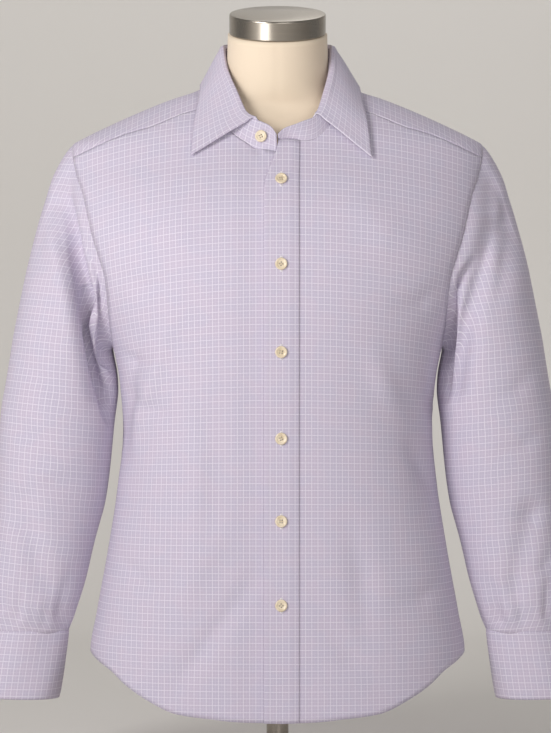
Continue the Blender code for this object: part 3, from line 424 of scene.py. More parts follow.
def bodyRadius(angle, z):
    power = bodyCurve.at("power", z)
    deep = np.where(np.cos(angle) < 0, bodyCurve.at("front", z), bodyCurve.at("back", z))
    wide = np.abs(np.sin(angle)) / bodyCurve.at("halfWidth", z)
    return (wide**power + (np.abs(np.cos(angle)) / deep) ** power) ** (-1 / power)


def plainPoint(angle, z):
    radius = bodyRadius(angle, z)
    x = radius * np.sin(angle)
    y = radius * np.cos(angle)
    y = y + broadest(x, z) * smoothStep(-y / 0.05)
    return np.stack([x, y, z + 0 * x], axis=-1)


def bodyNormal(angle, z):
    step = 0.002
    roundIt = plainPoint(angle + step, z) - plainPoint(angle - step, z)
    upIt = plainPoint(angle, z + step) - plainPoint(angle, z - step)
    return unit(np.cross(upIt, roundIt))


def bodyPoint(angle, z, out=0.0):
    out = np.asarray(out, float)[..., None]
    return plainPoint(angle, z) + out * bodyNormal(angle, z)


def angleAt(x, z, sideOfBody="front"):
    power = bodyCurve.at("power", z)
    share = np.minimum(np.abs(x) / bodyCurve.at("halfWidth", z), 1.0)
    y = bodyCurve.at(sideOfBody, z) * (1 - share**power) ** (1 / power)
    return np.arctan2(x, -y if sideOfBody == "front" else y)


def neckline(angle):
    degrees = np.degrees(angle)
    raised = seams["neckRaise"] * smoothStep((degrees - 148) / 26)
    return necklineCurve.at("z", np.abs(degrees)) + raised


def run(stops, counts):
    parts = [np.linspace(a, b, n + 1)[:-1] for a, b, n in zip(stops, stops[1:], counts)]
    return np.concatenate(parts + [[stops[-1]]])


def paired(angle, z):
    return np.stack([angle + 0 * z, z + 0 * angle], axis=-1)


# Seams, as rows of (angle, height) on the wearer's left


def armholeUp(sideOfBody, top):
    share = np.linspace(0, 1, armholeRows + 1)
    z = seams["underarm"] + (top - seams["underarm"]) * share**1.25
    angle = angleAt(armholeCurve.at(sideOfBody, z), z, sideOfBody)
    angle[0] = math.pi / 2
    return paired(angle, z)


sideSeam = paired(np.array(math.pi / 2), np.linspace(seams["sideNotch"], seams["underarm"], sideRows + 1))
frontArmhole = armholeUp("front", float(shoulderCurve.at("z", 0.2300)))
backArmhole = armholeUp("back", seams["backYokeSide"])


def overShoulder():
    tip = armholeCurve.rows[-1, 0]
    share = np.linspace(1, 0, 2 * fine + 1)
    frontZ = tip - (tip - frontArmhole[-1, 1]) * share**2
    backZ = tip - (tip - backArmhole[-1, 1]) * share[::-1] ** 2
    frontHalf = paired(angleAt(armholeCurve.at("front", frontZ), frontZ), frontZ)
    backHalf = paired(angleAt(armholeCurve.at("back", backZ), backZ, "back"), backZ)
    frontHalf[-1] = (math.pi / 2, tip)
    return np.concatenate([frontHalf, backHalf[1:]])


shoulderEnd = overShoulder()


def shoulderSeam():
    start = shoulderCurve.rows[0, 0]
    x = np.linspace(start, 0.2300, frontColumns + 1)
    z = shoulderCurve.at("z", x)
    seam = paired(angleAt(x, z), z)
    neck = np.array(math.radians(seams["shoulderNeck"]))
    first = np.array((float(neck), float(neckline(neck))))
    fade = (1 - np.linspace(0, 1, frontColumns + 1)[:, None]) ** 6
    seam += fade * (first - seam[0])
    seam[-1] = frontArmhole[-1]
    return seam


def backYokeSeam():
    end = backArmhole[-1, 0]
    share = np.linspace(1, -1, backColumns + 1)
    z = seams["backYokeSide"] + (seams["backYokeMiddle"] - seams["backYokeSide"]) * (1 - share**2)
    return paired(end * share, z)


def coons(bottom, top, left, right, fade=1):
    v = np.linspace(0, 1, len(left))[:, None, None]
    u = np.linspace(0, 1, len(bottom))[None, :, None]
    bendLeft = left[:, None] - (1 - v) * bottom[0] - v * top[0]
    bendRight = right[:, None] - (1 - v) * bottom[-1] - v * top[-1]
    return (1 - v) * bottom[None] + v * top[None] + (1 - u) ** fade * bendLeft + u**fade * bendRight


def mirrored(places):
    return places * np.array((-1, 1))


# Distance round the body from the middle of the front or the back, as the cloth lies flat
def roundDistance(angle, z, start):
    share = np.linspace(0, 1, 24).reshape((24,) + (1,) * angle.ndim)
    points = plainPoint(start + (angle - start) * share, z + 0 * share * angle)
    return np.linalg.norm(np.diff(points, axis=0), axis=-1).sum(axis=0)


def bodyFlat(grid, start):
    angle = grid[..., 0]
    z = grid[..., 1]
    across = roundDistance(angle, z, start) * np.sign(angle - start)
    x = bodyRadius(angle, z) * np.sin(angle)
    drop = 0.024 * np.minimum(np.abs(x) / 0.20, 1.1) ** 2.2 * smoothStep((z - 0.20) / 0.38)
    return np.stack([across, z * 1.03 + drop], axis=-1)


# Meshes


def gridNormals(points):
    return unit(np.cross(np.gradient(points, axis=1), np.gradient(points, axis=0)))


def gridMesh(name, sheets):
    bm = bmesh.new()
    flatLayer = bm.loops.layers.uv.new("flat")
    for points, flat in sheets:
        rows, columns = points.shape[:2]
        made = bmesh.ops.create_grid(bm, x_segments=columns - 1, y_segments=rows - 1, size=1)
        order = sorted(made["verts"], key=lambda v: (round(v.co.y, 6), round(v.co.x, 6)))
        places = points.reshape(-1, 3).tolist()
        cuts = flat.reshape(-1, 2).tolist()
        cutOf = {}
        for vert, place, cut in zip(order, places, cuts):
            vert.co = place
            cutOf[vert] = cut
        for face in {f for v in order for f in v.link_faces}:
            for loop in face.loops:
                loop[flatLayer].uv = cutOf[loop.vert]
    bmesh.ops.remove_doubles(bm, verts=bm.verts, dist=0.00002)
    mesh = bpy.data.meshes.new(name)
    bm.to_mesh(mesh)
    bm.free()
    mesh.shade_smooth()
    return mesh


def addPiece(name, mesh, finish, slotName, *nodes):
    mesh.materials.clear()
    mesh.materials.append(finish)
    piece = bpy.data.objects.new(name + "_look", mesh)
    bpy.context.scene.collection.objects.link(piece)
    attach(piece, "root")
    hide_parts(*nodes)
    return piece


def flipIfInward(mesh, centre):
    bm = bmesh.new()
    bm.from_mesh(mesh)
    total = 0.0
    for face in bm.faces:
        away = face.calc_center_median()
        outward = (away.x - centre[0], away.y - centre[1], away.z - centre[2])
        total += face.calc_area() * sum(a * b for a, b in zip(face.normal, outward))
    if total < 0:
        bmesh.ops.reverse_faces(bm, faces=bm.faces)
    bm.to_mesh(mesh)
    bm.free()


def clothPiece(name, sheets, wall, node, centre, finish):
    mesh = gridMesh(name, sheets)
    flipIfInward(mesh, centre)
    piece = addPiece(name, mesh, finish, "shirting", node)
    shell = piece.modifiers.new("wall", "SOLIDIFY")
    shell.thickness = wall
    shell.offset = -1
    shell.use_even_offset = False
    return piece


def rippled(distance, along, height, length):
    wave = np.sin(along * 2 * math.pi / length) + 0.6 * np.sin(along * 2 * math.pi / (length * 0.37) + 1.3)
    return height * wave * np.exp(-((distance / 0.009) ** 2))


print("shape ready")

# Materials


class Wire:
    def __init__(self, tree, socket=None):
        self.tree = tree
        self.socket = socket

    def node(self, kind, settings=None, inputs=None, output=0):
        made = self.tree.nodes.new(kind)
        for key, value in (settings or {}).items():
            setattr(made, key, value)
        for key, value in (inputs or {}).items():
            if isinstance(value, Wire):
                self.tree.links.new(value.socket, made.inputs[key])
            else:
                made.inputs[key].default_value = value
        return Wire(self.tree, made.outputs[output])

    def math(self, operation, first, second=0.0):
        return self.node("ShaderNodeMath", {"operation": operation}, {0: first, 1: second})

    def __add__(self, other):
        return self.math("ADD", self, other)

    def __radd__(self, other):
        return self.math("ADD", other, self)

    def __sub__(self, other):
        return self.math("SUBTRACT", self, other)

    def __rsub__(self, other):
        return self.math("SUBTRACT", other, self)

    def __mul__(self, other):
        return self.math("MULTIPLY", self, other)

    def __rmul__(self, other):
        return self.math("MULTIPLY", other, self)

    def __truediv__(self, other):
        return self.math("DIVIDE", self, other)

    def __rtruediv__(self, other):
        return self.math("DIVIDE", other, self)

    def __neg__(self):
        return self.math("MULTIPLY", self, -1.0)

    def ramp(self, low, high, toLow=0.0, toHigh=1.0):
        limits = {0: self, 1: low, 2: high, 3: toLow, 4: toHigh}
        return self.node("ShaderNodeMapRange", {"interpolation_type": "SMOOTHSTEP"}, limits)

    def mix(self, first, second):
        made = self.tree.nodes.new("ShaderNodeMix")
        made.data_type = "RGBA"
        self.tree.links.new(self.socket, made.inputs[0])
        for slot, value in ((6, first), (7, second)):
            if isinstance(value, Wire):
                self.tree.links.new(value.socket, made.inputs[slot])
            else:
                made.inputs[slot].default_value = (*value, 1.0)
        return Wire(self.tree, made.outputs[2])


def newMaterial(name, **fixed):
    made = bpy.data.materials.new(name)
    made.use_nodes = True
    shader = made.node_tree.nodes["Principled BSDF"]
    for key, value in fixed.items():
        shader.inputs[key.replace("_", " ")].default_value = value
    return made, Wire(made.node_tree), shader


def plug(shader, name, wire):
    wire.tree.links.new(wire.socket, shader.inputs[name])


shirting = {
    "pink": (0.540, 0.476, 0.596),
    "blue": (0.512, 0.472, 0.598),
    "line": (0.860, 0.830, 0.900),
    "cellWide": 0.0068,
    "cellTall": 0.0078,
    "lineWidth": 0.00050,
    "lineStrength": 0.62,
    "middleLine": 0.16,
    "weaveBump": 0.00010,
    "grain": 0.55,
    "roughness": 0.86,
}


def shirtingMaterial():
    made, wire, shader = newMaterial(
        "lilac_shirting",
        Roughness=shirting["roughness"],
        Sheen_Weight=0.12,
        Sheen_Roughness=0.45,
        Specular_IOR_Level=0.25,
    )
    flat = wire.node("ShaderNodeUVMap", {"uv_map": "flat"})
    across = wire.node("ShaderNodeSeparateXYZ", inputs={0: flat}, output=0)
    up = wire.node("ShaderNodeSeparateXYZ", inputs={0: flat}, output=1)
    thin = shirting["lineWidth"]

    def lines(along, cell, shift):
        place = wire.math("FRACT", along / cell + shift)
        away = wire.math("ABSOLUTE", place - 0.5) * cell
        return away.ramp(thin * 0.35, thin * 1.1, 1.0, 0.0)

    main = wire.math(
        "MAXIMUM",
        lines(across, shirting["cellWide"], 0.0),
        lines(up, shirting["cellTall"], 0.0),
    )
    middle = wire.math(
        "MAXIMUM",
        lines(across, shirting["cellWide"], 0.5),
        lines(up, shirting["cellTall"], 0.5),
    )
    drift = wire.node("ShaderNodeTexNoise", inputs={"Vector": flat, "Scale": 38.0, "Detail": 2.5})
    slub = wire.node("ShaderNodeTexNoise", inputs={"Vector": flat, "Scale": 900.0, "Detail": 1.0})
    colour = drift.ramp(0.36, 0.64).mix(shirting["blue"], shirting["pink"])
    grain = wire.node("ShaderNodeTexNoise", inputs={"Vector": flat, "Scale": 1500.0, "Detail": 2.0})
    pale = tuple(1.16 * c for c in shirting["pink"])
    colour = (grain.ramp(0.38, 0.66) * shirting["grain"]).mix(colour, pale)
    amount = main * shirting["lineStrength"] + middle * shirting["middleLine"]
    amount = amount * slub.ramp(0.25, 0.75, 0.75, 1.15)
    plug(shader, "Base Color", amount.mix(colour, shirting["line"]))
    warp = wire.math("SINE", across * 9800.0)
    weft = wire.math("SINE", up * 9800.0)
    weave = warp * weft * 0.5 + slub * 0.8 + main * 0.5
    bump = wire.node(
        "ShaderNodeBump",
        inputs={"Strength": 0.5, "Distance": shirting["weaveBump"], "Height": weave},
    )
    plug(shader, "Normal", bump)
    return made


def threadMaterial(name, colour):
    made, wire, shader = newMaterial(name, Roughness=0.62, Specular_IOR_Level=0.3)
    place = wire.node("ShaderNodeTexCoord", output=3)
    noise = wire.node("ShaderNodeTexNoise", inputs={"Vector": place, "Scale": 2600.0})
    dark = tuple(c * 0.86 for c in colour)
    plug(shader, "Base Color", noise.mix(dark, colour))
    return made


def ivoryMaterial():
    made, wire, shader = newMaterial(
        "ivory_button", Roughness=0.32, Specular_IOR_Level=0.5, Coat_Weight=0.25, Coat_Roughness=0.2
    )
    place = wire.node("ShaderNodeTexCoord", output=3)
    cloud = wire.node(
        "ShaderNodeTexNoise", inputs={"Vector": place, "Scale": 120.0, "Detail": 3.0, "Distortion": 1.2}
    )
    plug(shader, "Base Color", cloud.ramp(0.3, 0.7).mix((0.70, 0.58, 0.40), (0.84, 0.73, 0.56)))
    return made


def coverMaterial():
    made, wire, shader = newMaterial(
        "cream_cover", Roughness=0.72, Sheen_Weight=0.2, Sheen_Roughness=0.5, Specular_IOR_Level=0.3
    )
    place = wire.node("ShaderNodeTexCoord", output=3)
    knit = wire.node("ShaderNodeTexNoise", inputs={"Vector": place, "Scale": 1400.0, "Detail": 2.0})
    cloud = wire.node("ShaderNodeTexNoise", inputs={"Vector": place, "Scale": 9.0, "Detail": 2.0})
    warm = cloud.mix((0.82, 0.685, 0.53), (0.86, 0.735, 0.59))
    plug(shader, "Base Color", (knit * 0.35).mix(warm, (0.74, 0.60, 0.45)))
    bump = wire.node("ShaderNodeBump", inputs={"Strength": 0.35, "Distance": 0.0002, "Height": knit})
    plug(shader, "Normal", bump)
    return made


# Lines run round the axis that stands up through the cap's own flat side
def steelMaterial(name, lean):
    made, wire, shader = newMaterial(
        name, Metallic=1.0, Specular_IOR_Level=0.5, Anisotropic=0.4
    )
    place = wire.node("ShaderNodeTexCoord", output=3)
    turned = wire.node(
        "ShaderNodeMapping",
        inputs={"Vector": place, "Rotation": (-lean, 0.0, 0.0), "Scale": (3.0, 3.0, 900.0)},
    )
    lines = wire.node("ShaderNodeTexNoise", inputs={"Vector": turned, "Scale": 1.6, "Detail": 3.0})
    stain = wire.node("ShaderNodeTexNoise", inputs={"Vector": place, "Scale": 30.0, "Detail": 2.0})
    plug(shader, "Base Color", lines.mix((0.28, 0.255, 0.22), (0.43, 0.39, 0.34)))
    plug(shader, "Roughness", lines * 0.12 + stain * 0.06 + 0.14)
    bump = wire.node("ShaderNodeBump", inputs={"Strength": 0.12, "Distance": 0.0002, "Height": lines})
    plug(shader, "Normal", bump)
    return made


clothFinish = shirtingMaterial()
liningThread = threadMaterial("lilac_thread", (0.680, 0.625, 0.735))
paleThread = threadMaterial("white_thread", (0.880, 0.850, 0.870))
buttonThread = threadMaterial("cream_thread", (0.700, 0.610, 0.500))
ivoryFinish = ivoryMaterial()
coverFinish = coverMaterial()
print("materials ready")

# Stitches: short raised threads along a line of points, drawn just proud of the cloth

stitching = {"length": 0.0024, "gap": 0.0009, "thick": 0.00017}
seamLines = []
holeLines = []
buttonLines = []


def alongLine(points, step):
    points = np.asarray(points, float)
    gap = np.linalg.norm(np.diff(points[:, :3], axis=0), axis=1)  # places only, the rest rides along
    length = np.concatenate([[0], np.cumsum(gap)])
    at = np.arange(0, length[-1], step)
    return np.stack([np.interp(at, length, points[:, k]) for k in range(points.shape[1])], axis=1)


def stitch(points, normals, lift=0.0):
    pair = np.concatenate([np.asarray(points), np.asarray(normals)], axis=1)
    pitch = stitching["length"] + stitching["gap"]
    steps = alongLine(pair, pitch / 4)
    for k in range(0, len(steps) - 4, 4):
        piece = steps[k : k + 4]
        outward = unit(piece[:, 3:])
        height = np.array((-0.00022, 0.00012, 0.00012, -0.00022))[:, None] + lift
        seamLines.append(piece[:, :3] + outward * height)


def threads(name, lines, thick, finish, smooth=0):
    curve = bpy.data.curves.new(name, "CURVE")
    curve.dimensions = "3D"
    curve.bevel_depth = thick
    curve.bevel_resolution = smooth
    curve.use_fill_caps = True
    for line in lines:
        spline = curve.splines.new("POLY")
        spline.points.add(len(line) - 1)
        for point, place in zip(spline.points, line):
            point.co = (*place, 1.0)
    holder = bpy.data.objects.new(name, curve)
    bpy.context.scene.collection.objects.link(holder)
    graph = bpy.context.evaluated_depsgraph_get()
    mesh = bpy.data.meshes.new_from_object(holder.evaluated_get(graph))
    bpy.data.objects.remove(holder)
    mesh.name = name
    mesh.materials.clear()
    mesh.materials.append(finish)
    mesh.shade_smooth()
    piece = bpy.data.objects.new(name, mesh)
    bpy.context.scene.collection.objects.link(piece)
    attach(piece, "root")
    return piece


# A line across a grid of points, at a distance in from one of its edges
def inFrom(points, edge, distance):
    grid = {"top": points[::-1], "bottom": points, "left": points.transpose(1, 0, 2)}
    grid["right"] = points.transpose(1, 0, 2)[::-1]
    lines = grid[edge]
    normals = gridNormals(points)
    facing = {"top": normals[::-1], "bottom": normals, "left": normals.transpose(1, 0, 2)}
    facing["right"] = normals.transpose(1, 0, 2)[::-1]
    facing = facing[edge]
    far = np.concatenate(
        [np.zeros((1, lines.shape[1])), np.cumsum(np.linalg.norm(np.diff(lines, axis=0), axis=2), axis=0)]
    )
    found = []
    turned = []
    for j in range(lines.shape[1]):
        found.append([np.interp(distance, far[:, j], lines[:, j, k]) for k in range(3)])
        turned.append([np.interp(distance, far[:, j], facing[:, j, k]) for k in range(3)])
    return np.array(found), np.array(turned)


# Body panels

panels = {"foldStrength": 1.8, "pucker": 0.00016, "seamDip": 0.0001, "hemStitch": 0.006}


def closingX(edge, neckAngle, z, high):
    top = neckline(neckAngle * high)
    radius = bodyRadius(neckAngle, top)
    share = smoothStep((z - seams["placketTurn"]) / (top - seams["placketTurn"]))
    return edge + (radius * np.sin(neckAngle) - edge) * share


def closingLine(edge, degrees, high):
    neckAngle = np.array(math.radians(degrees))
    low = hemCurve.at("z", abs(edge))
    z = np.linspace(low, neckline(neckAngle * high), 16 * fine + 1)
    return paired(angleAt(closingX(edge, neckAngle, z, high), z) % (2 * math.pi), z)


def neckAngles(strip, leafEnd):
    stops = [strip[2], leafEnd, seams["shoulderNeck"]]
    return np.radians(run(stops, [fine, 4 * fine]))


def frontGrids(edges, strip, leafEnd, high):
    lines = np.array([closingLine(e, d, high) for e, d in zip(edges, strip)])
    share = np.linspace(0, 2, 2 * fine + 1)
    low = np.minimum(share.astype(int), 1)
    part = (share - low)[:, None, None]
    stripGrid = (lines[low] * (1 - part) + lines[low + 1] * part).transpose(1, 0, 2)
    angles = neckAngles(strip, leafEnd)
    neck = paired(angles, neckline(angles * high))
    left = np.concatenate([lines[2], neck[1:]])
    right = np.concatenate([sideSeam, frontArmhole[1:]])
    start = abs(edges[2])
    share = np.linspace(0, 1, frontColumns + 1)
    x = start + (float(bodyCurve.at("halfWidth", seams["sideNotch"])) - start) * (1 - (1 - share) ** 1.35)
    z = hemCurve.at("z", x)
    bottom = paired(angleAt(x, z), z)
    bottom[0] = left[0]
    bottom[-1] = right[0]
    return stripGrid, coons(bottom, shoulderSeam(), left, right)


# How far a panel dips along its seams, with the small puckers that stitching leaves
def seamDip(points, sides):
    edges = {"left": points[:, 0], "right": points[:, -1], "bottom": points[0], "top": points[-1]}
    dip = np.zeros(points.shape[:2])
    for side in sides:
        line = edges[side]
        along = np.concatenate([[0], np.cumsum(np.linalg.norm(np.diff(line, axis=0), axis=1))])
        away = np.linalg.norm(points[:, :, None] - line, axis=3)
        nearest = away.argmin(axis=2)
        away = away.min(axis=2)
        dip -= panels["seamDip"] * np.exp(-((away / 0.0020) ** 2))
        dip += rippled(away, along[nearest], panels["pucker"], 0.017)
    return dip


def frontSurface(grid, side, sides=(), extra=0.0):
    angle = grid[..., 0]
    z = grid[..., 1]
    plain = plainPoint(angle, z)
    depth = panels["foldStrength"] * pressed(side * plain[..., 0], z, frontFolds)
    out = extra - depth * smoothStep(-plain[..., 1] / 0.03)
    if sides:
        out = out + seamDip(plain, sides)
    points = bodyPoint(angle, z, out)
    return points * np.array((side, 1, 1))


def underPlacket(grid):
    x = plainPoint(grid[..., 0], grid[..., 1])[..., 0]
    return -(0.0012 + 0.0006) * smoothStep((0.052 - x) / 0.030)


def makeFronts():
    middle = (seams["placketEdge"] + seams["placketSeam"]) / 2
    edges = (seams["placketEdge"], middle, seams["placketSeam"])
    strip, main = frontGrids(edges, seams["leftNeck"], seams["leftLeafEnd"], 1)
    sheets = []
    for grid, sides in ((strip, ()), (main, ("right", "top"))):
        sheets.append((frontSurface(grid, 1, sides), bodyFlat(grid, math.pi)))
    clothPiece("front_left", sheets, walls["panel"], "front_left", (0, 0.03, 0.4), clothFinish)
    makePlacket(strip)
    line, facing = inFrom(sheets[1][0], "bottom", panels["hemStitch"])
    stitch(line, facing)

    edges = (-seams["underEdge"], -middle, -seams["placketEdge"])
    strip, main = frontGrids(edges, seams["rightNeck"], seams["rightLeafEnd"], -1)
    sheets = []
    for grid, sides in ((strip, ()), (main, ("right", "top"))):
        points = frontSurface(grid, -1, sides, underPlacket(grid))
        flat = bodyFlat(grid, math.pi) * np.array((-1, 1))
        sheets.append((points, flat))
    clothPiece("front_right", sheets, walls["panel"], "front_right", (0, 0.03, 0.4), clothFinish)
    line, facing = inFrom(sheets[1][0], "bottom", panels["hemStitch"])
    stitch(line, -facing)


placket = {"edgeStitch": 0.0055, "holeLength": 0.0165, "holeWidth": 0.0024, "holeThread": 0.00055}
buttons = {
    "x": 0.0040,
    "heights": (0.6555, 0.5620, 0.4660, 0.3710, 0.2805, 0.1890),
    "radius": 0.0067,
    "thick": 0.0024,
}


def makePlacket(strip):
    lift = walls["lay"] + walls["folded"]
    across = np.linspace(0, 1, strip.shape[1])[None] + 0 * strip[..., 0]
    points = frontSurface(strip, 1, (), lift * (1 - 0.75 * smoothStep((across - 0.70) / 0.30)))
    height = strip[..., 1]
    wave = 0.0004 * np.sin(height * 71.0) + 0.0003 * np.sin(height * 133.0 + 1.0)
    edge = np.linspace(1, 0, strip.shape[1])[None] ** 2
    points[..., 1] -= np.abs(wave) * edge
    flat = bodyFlat(strip, math.pi) + np.array((0.0021, 0.0))
    clothPiece("placket", [(points, flat)], walls["folded"], "placket", (0, 0.03, 0.4), clothFinish)
    for side in ("left", "right"):
        line, facing = inFrom(points, side, placket["edgeStitch"] if side == "left" else 0.0012)
        stitch(line, facing)
    for z in buttons["heights"]:
        ring = []
        for turn in np.linspace(0, 2 * math.pi, 33):
            dx = placket["holeWidth"] / 2 * math.cos(turn)
            dz = placket["holeLength"] / 2 * np.sign(math.sin(turn)) * abs(math.sin(turn)) ** 0.35
            angle = angleAt(np.array(buttons["x"] + dx), np.array(z + dz))
            ring.append(bodyPoint(angle, np.array(z + dz), lift + 0.0002))
        holeLines.append(np.array(ring))


def makeBack():
    rise = np.concatenate([sideSeam, backArmhole[1:]])
    share = np.linspace(0, 1, backColumns + 1)
    angle = math.pi / 2 * (1 - 2 * share)
    x = float(bodyCurve.at("halfWidth", seams["sideNotch"])) * np.abs(np.sin(angle)) ** 0.85
    z = hemCurve.at("z", x) - seams["tailDrop"] * np.cos(angle)
    bottom = paired(angleAt(np.copysign(x, angle), z, "back"), z)
    bottom[0] = rise[0]
    bottom[-1] = rise[0] * np.array((-1, 1))
    grid = coons(bottom, backYokeSeam(), rise, mirrored(rise))
    plain = plainPoint(grid[..., 0], grid[..., 1])
    out = -pressed(plain[..., 0], plain[..., 2], backFolds) * smoothStep(plain[..., 1] / 0.03)
    out = out + seamDip(plain, ("left", "right", "top"))
    points = bodyPoint(grid[..., 0], grid[..., 1], out)
    sheets = [(points, bodyFlat(grid, 0.0))]
    clothPiece("back", sheets, walls["panel"], "back", (0, -0.03, 0.4), clothFinish)
    line, facing = inFrom(points, "bottom", panels["hemStitch"])
    stitch(line, -facing)


def makeYoke():
    outer = np.concatenate([shoulderEnd, backYokeSeam()[1:-1], mirrored(shoulderEnd[::-1])])
    neck = math.radians(seams["shoulderNeck"])
    angles = np.linspace(neck, -neck, len(outer))
    inner = paired(angles, neckline(angles))
    grid = coons(inner, outer, shoulderSeam(), mirrored(shoulderSeam()), fade=8)
    plain = plainPoint(grid[..., 0], grid[..., 1])
    rows = np.linspace(0, 1, grid.shape[0])[:, None]
    side = np.abs(np.linspace(-1, 1, grid.shape[1]))[None] + 0 * rows
    edge = np.maximum(smoothStep((rows - 0.95) / 0.05), smoothStep((side - 0.985) / 0.015))
    out = 0.0002 * edge
    points = bodyPoint(grid[..., 0], grid[..., 1], out)
    flat = np.stack([plain[..., 0] * 1.10, plain[..., 1] * 1.08 + np.abs(plain[..., 0]) * 0.10], axis=-1)
    clothPiece("yoke", [(points, flat)], walls["panel"], "yoke", (0, 0, 0.4), clothFinish)
    line, facing = inFrom(points, "top", 0.0016)
    third = 4 * fine
    stitch(line[third:-third], facing[third:-third] * np.sign(facing[third:-third, 2:3]))
    for side in ("left", "right"):
        line, facing = inFrom(points, side, 0.0016)
        stitch(line, facing * np.sign(facing[:, 2:3]))


makeFronts()
makeBack()
makeYoke()
print("body panels ready")

# Collar

collar = {"leafLift": 0.0034, "edgeStitch": 0.0056}


def collarAngles():
    left = seams["leftNeck"]
    right = seams["rightNeck"]
    shoulder = seams["shoulderNeck"]
    stops = [-right[1], -right[2], -seams["rightLeafEnd"], -shoulder, shoulder]
    stops += [seams["leftLeafEnd"], left[2], left[1], left[0]]
    counts = [fine, fine, 4 * fine, 24 * fine, 4 * fine, fine, fine, fine]
    return np.radians(run(stops, counts))


def foldPoint(angle):
    degrees = np.abs(np.degrees(angle))
    x = foldCurve.at("x", degrees) * np.sign(angle)
    shift = smoothStep((degrees - 100) / 50) * smoothStep((180 - degrees) / 12)
    x = x + seams["foldShift"] * shift
    return np.stack([x, foldCurve.at("y", degrees), foldCurve.at("z", degrees)], axis=-1)


def bodyHeight(x, y):
    angle = np.arctan2(x, y)
    reach = np.hypot(x, y)
    low = np.full(x.shape, 0.60)
    high = np.full(x.shape, 0.79)
    for _ in range(30):
        middle = (low + high) / 2
        wider = bodyRadius(angle, middle) > reach
        low = np.where(wider, middle, low)
        high = np.where(wider, high, middle)
    return (low + high) / 2


def lengthFlat(points):
    along = np.linalg.norm(np.diff(points, axis=1), axis=2).mean(axis=0)
    along = np.concatenate([[0], np.cumsum(along)])
    up = np.linalg.norm(np.diff(points, axis=0), axis=2).mean(axis=1)
    up = np.concatenate([[0], np.cumsum(up)])
    return np.stack(np.meshgrid(along, up), axis=-1)


def makeStand(angles):
    height = neckline(angles)
    under = smoothStep((0.052 - np.abs(plainPoint(angles, height)[:, 0])) / 0.030) * (angles < -1.6)
    foot = bodyPoint(angles, height, -0.0003 - 0.0018 * under)
    top = foldPoint(angles)
    rows = np.linspace(-0.10, 1, 3 * fine)[:, None, None]
    points = foot + (top - foot) * rows
    swell = np.sin(np.pi * np.maximum(rows, 0)) * 0.0006 - 0.0014 * smoothStep(-rows / 0.10)
    level = unit(points * np.array((1, 1, 0)))
    points = points + level * swell
    sheets = [(points, lengthFlat(points))]
    clothPiece("collar_stand", sheets, walls["folded"], "collar_stand", (0, -0.012, 0.75), clothFinish)
    for edge, away in (("top", 0.0025), ("bottom", 0.0018)):
        line, facing = inFrom(points, edge, away)
        outward = facing * np.sign((facing * points[0]).sum(axis=1, keepdims=True))
        for part in (slice(0, 2 * fine), slice(len(line) - 3 * fine, len(line))):
            stitch(line[part], outward[part])
    return points


def makeLeaf(angles):
    end = np.where(angles > 0, np.radians(seams["leftLeafEnd"]), np.radians(seams["rightLeafEnd"]))
    share = np.minimum(np.abs(angles) / end, 1.0)
    x = leafCurve.at("x", share) * np.sign(angles) + seams["leafShift"] * share
    y = leafCurve.at("y", share)
    z = bodyHeight(x, y)
    edge = bodyPoint(np.arctan2(x, y), z, 0.0016 + leafCurve.at("clear", share))
    top = foldPoint(angles) + np.array((0, 0, collar["leafLift"]))
    away = edge - top
    level = unit(away * np.array((1, 1, 0)))
    over = (np.linspace(0, 1, 4 * fine) ** 1.35)[:, None, None]
    swell = 0.0020 * np.sin(np.pi * over) + 0.0020 * smoothStep(over / 0.06)
    lift = 0.0012 * np.sin(np.pi * np.minimum(over / 0.12, 1))
    points = top + away * over + level * swell * (1 - over) + lift * np.array((0, 0, 1))
    turn = np.linspace(-1.0, 0, 5)[:-1, None, None]
    inside = top - level * 0.0012 * (1 - np.cos(turn * math.pi / 2)) * 2 + np.array((0, 0, 0.0042)) * turn
    points = np.concatenate([inside, points])
    sheets = [(points, lengthFlat(points) * 1.15)]
    clothPiece("collar_leaf", sheets, walls["folded"], "collar_leaf", (0, -0.012, 0.70), clothFinish)
    for side, away in (
        ("top", collar["edgeStitch"]),
        ("left", collar["edgeStitch"]),
        ("right", collar["edgeStitch"]),
    ):
        line, facing = inFrom(points, side, away)
        outward = facing * np.sign((facing * (line - np.array((0, -0.012, 0.70)))).sum(axis=1, keepdims=True))
        keep = slice(3 * fine // 2, -3 * fine // 2) if side == "top" else slice(5, -fine)
        stitch(line[keep], outward[keep])


collarPlaces = collarAngles()
standPoints = makeStand(collarPlaces)
leafLow = -math.radians(seams["rightLeafEnd"]) - 0.001
leafHigh = math.radians(seams["leftLeafEnd"]) + 0.001
makeLeaf(collarPlaces[(collarPlaces >= leafLow) & (collarPlaces <= leafHigh)])
print("collar ready")

# Sleeves

sleeve = {
    "rings": 18,
    "columns": 36 * fine,
    "tuck": 0.0030,
    "ownCurve": 0.42,
    "intoCuff": 0.006,
}


def armholeRing():
    ring = np.concatenate([frontArmhole, shoulderEnd[1:], backArmhole[::-1][1:]])
    points = bodyPoint(ring[:, 0], ring[:, 1])
    normals = bodyNormal(ring[:, 0], ring[:, 1])
    loop = points[:-1]
    along = np.roll(loop, -1, axis=0) - np.roll(loop, 1, axis=0)
    outward = unit(np.cross(along, normals[:-1]))
    outward = np.concatenate([outward, outward[:1]])
    normals[-1] = normals[0]
    points[-1] = points[0]
    tucked = points - sleeve["tuck"] * outward - 0.0013 * normals
    shown = points + 0.0010 * outward - 0.00012 * normals
    far = np.concatenate([[0], np.cumsum(np.linalg.norm(np.diff(points, axis=0), axis=1))])
    even = np.linspace(0, far[-1], sleeve["columns"] + 1)
    return tuple(through(far, ring, even) for ring in (tucked, shown, points))


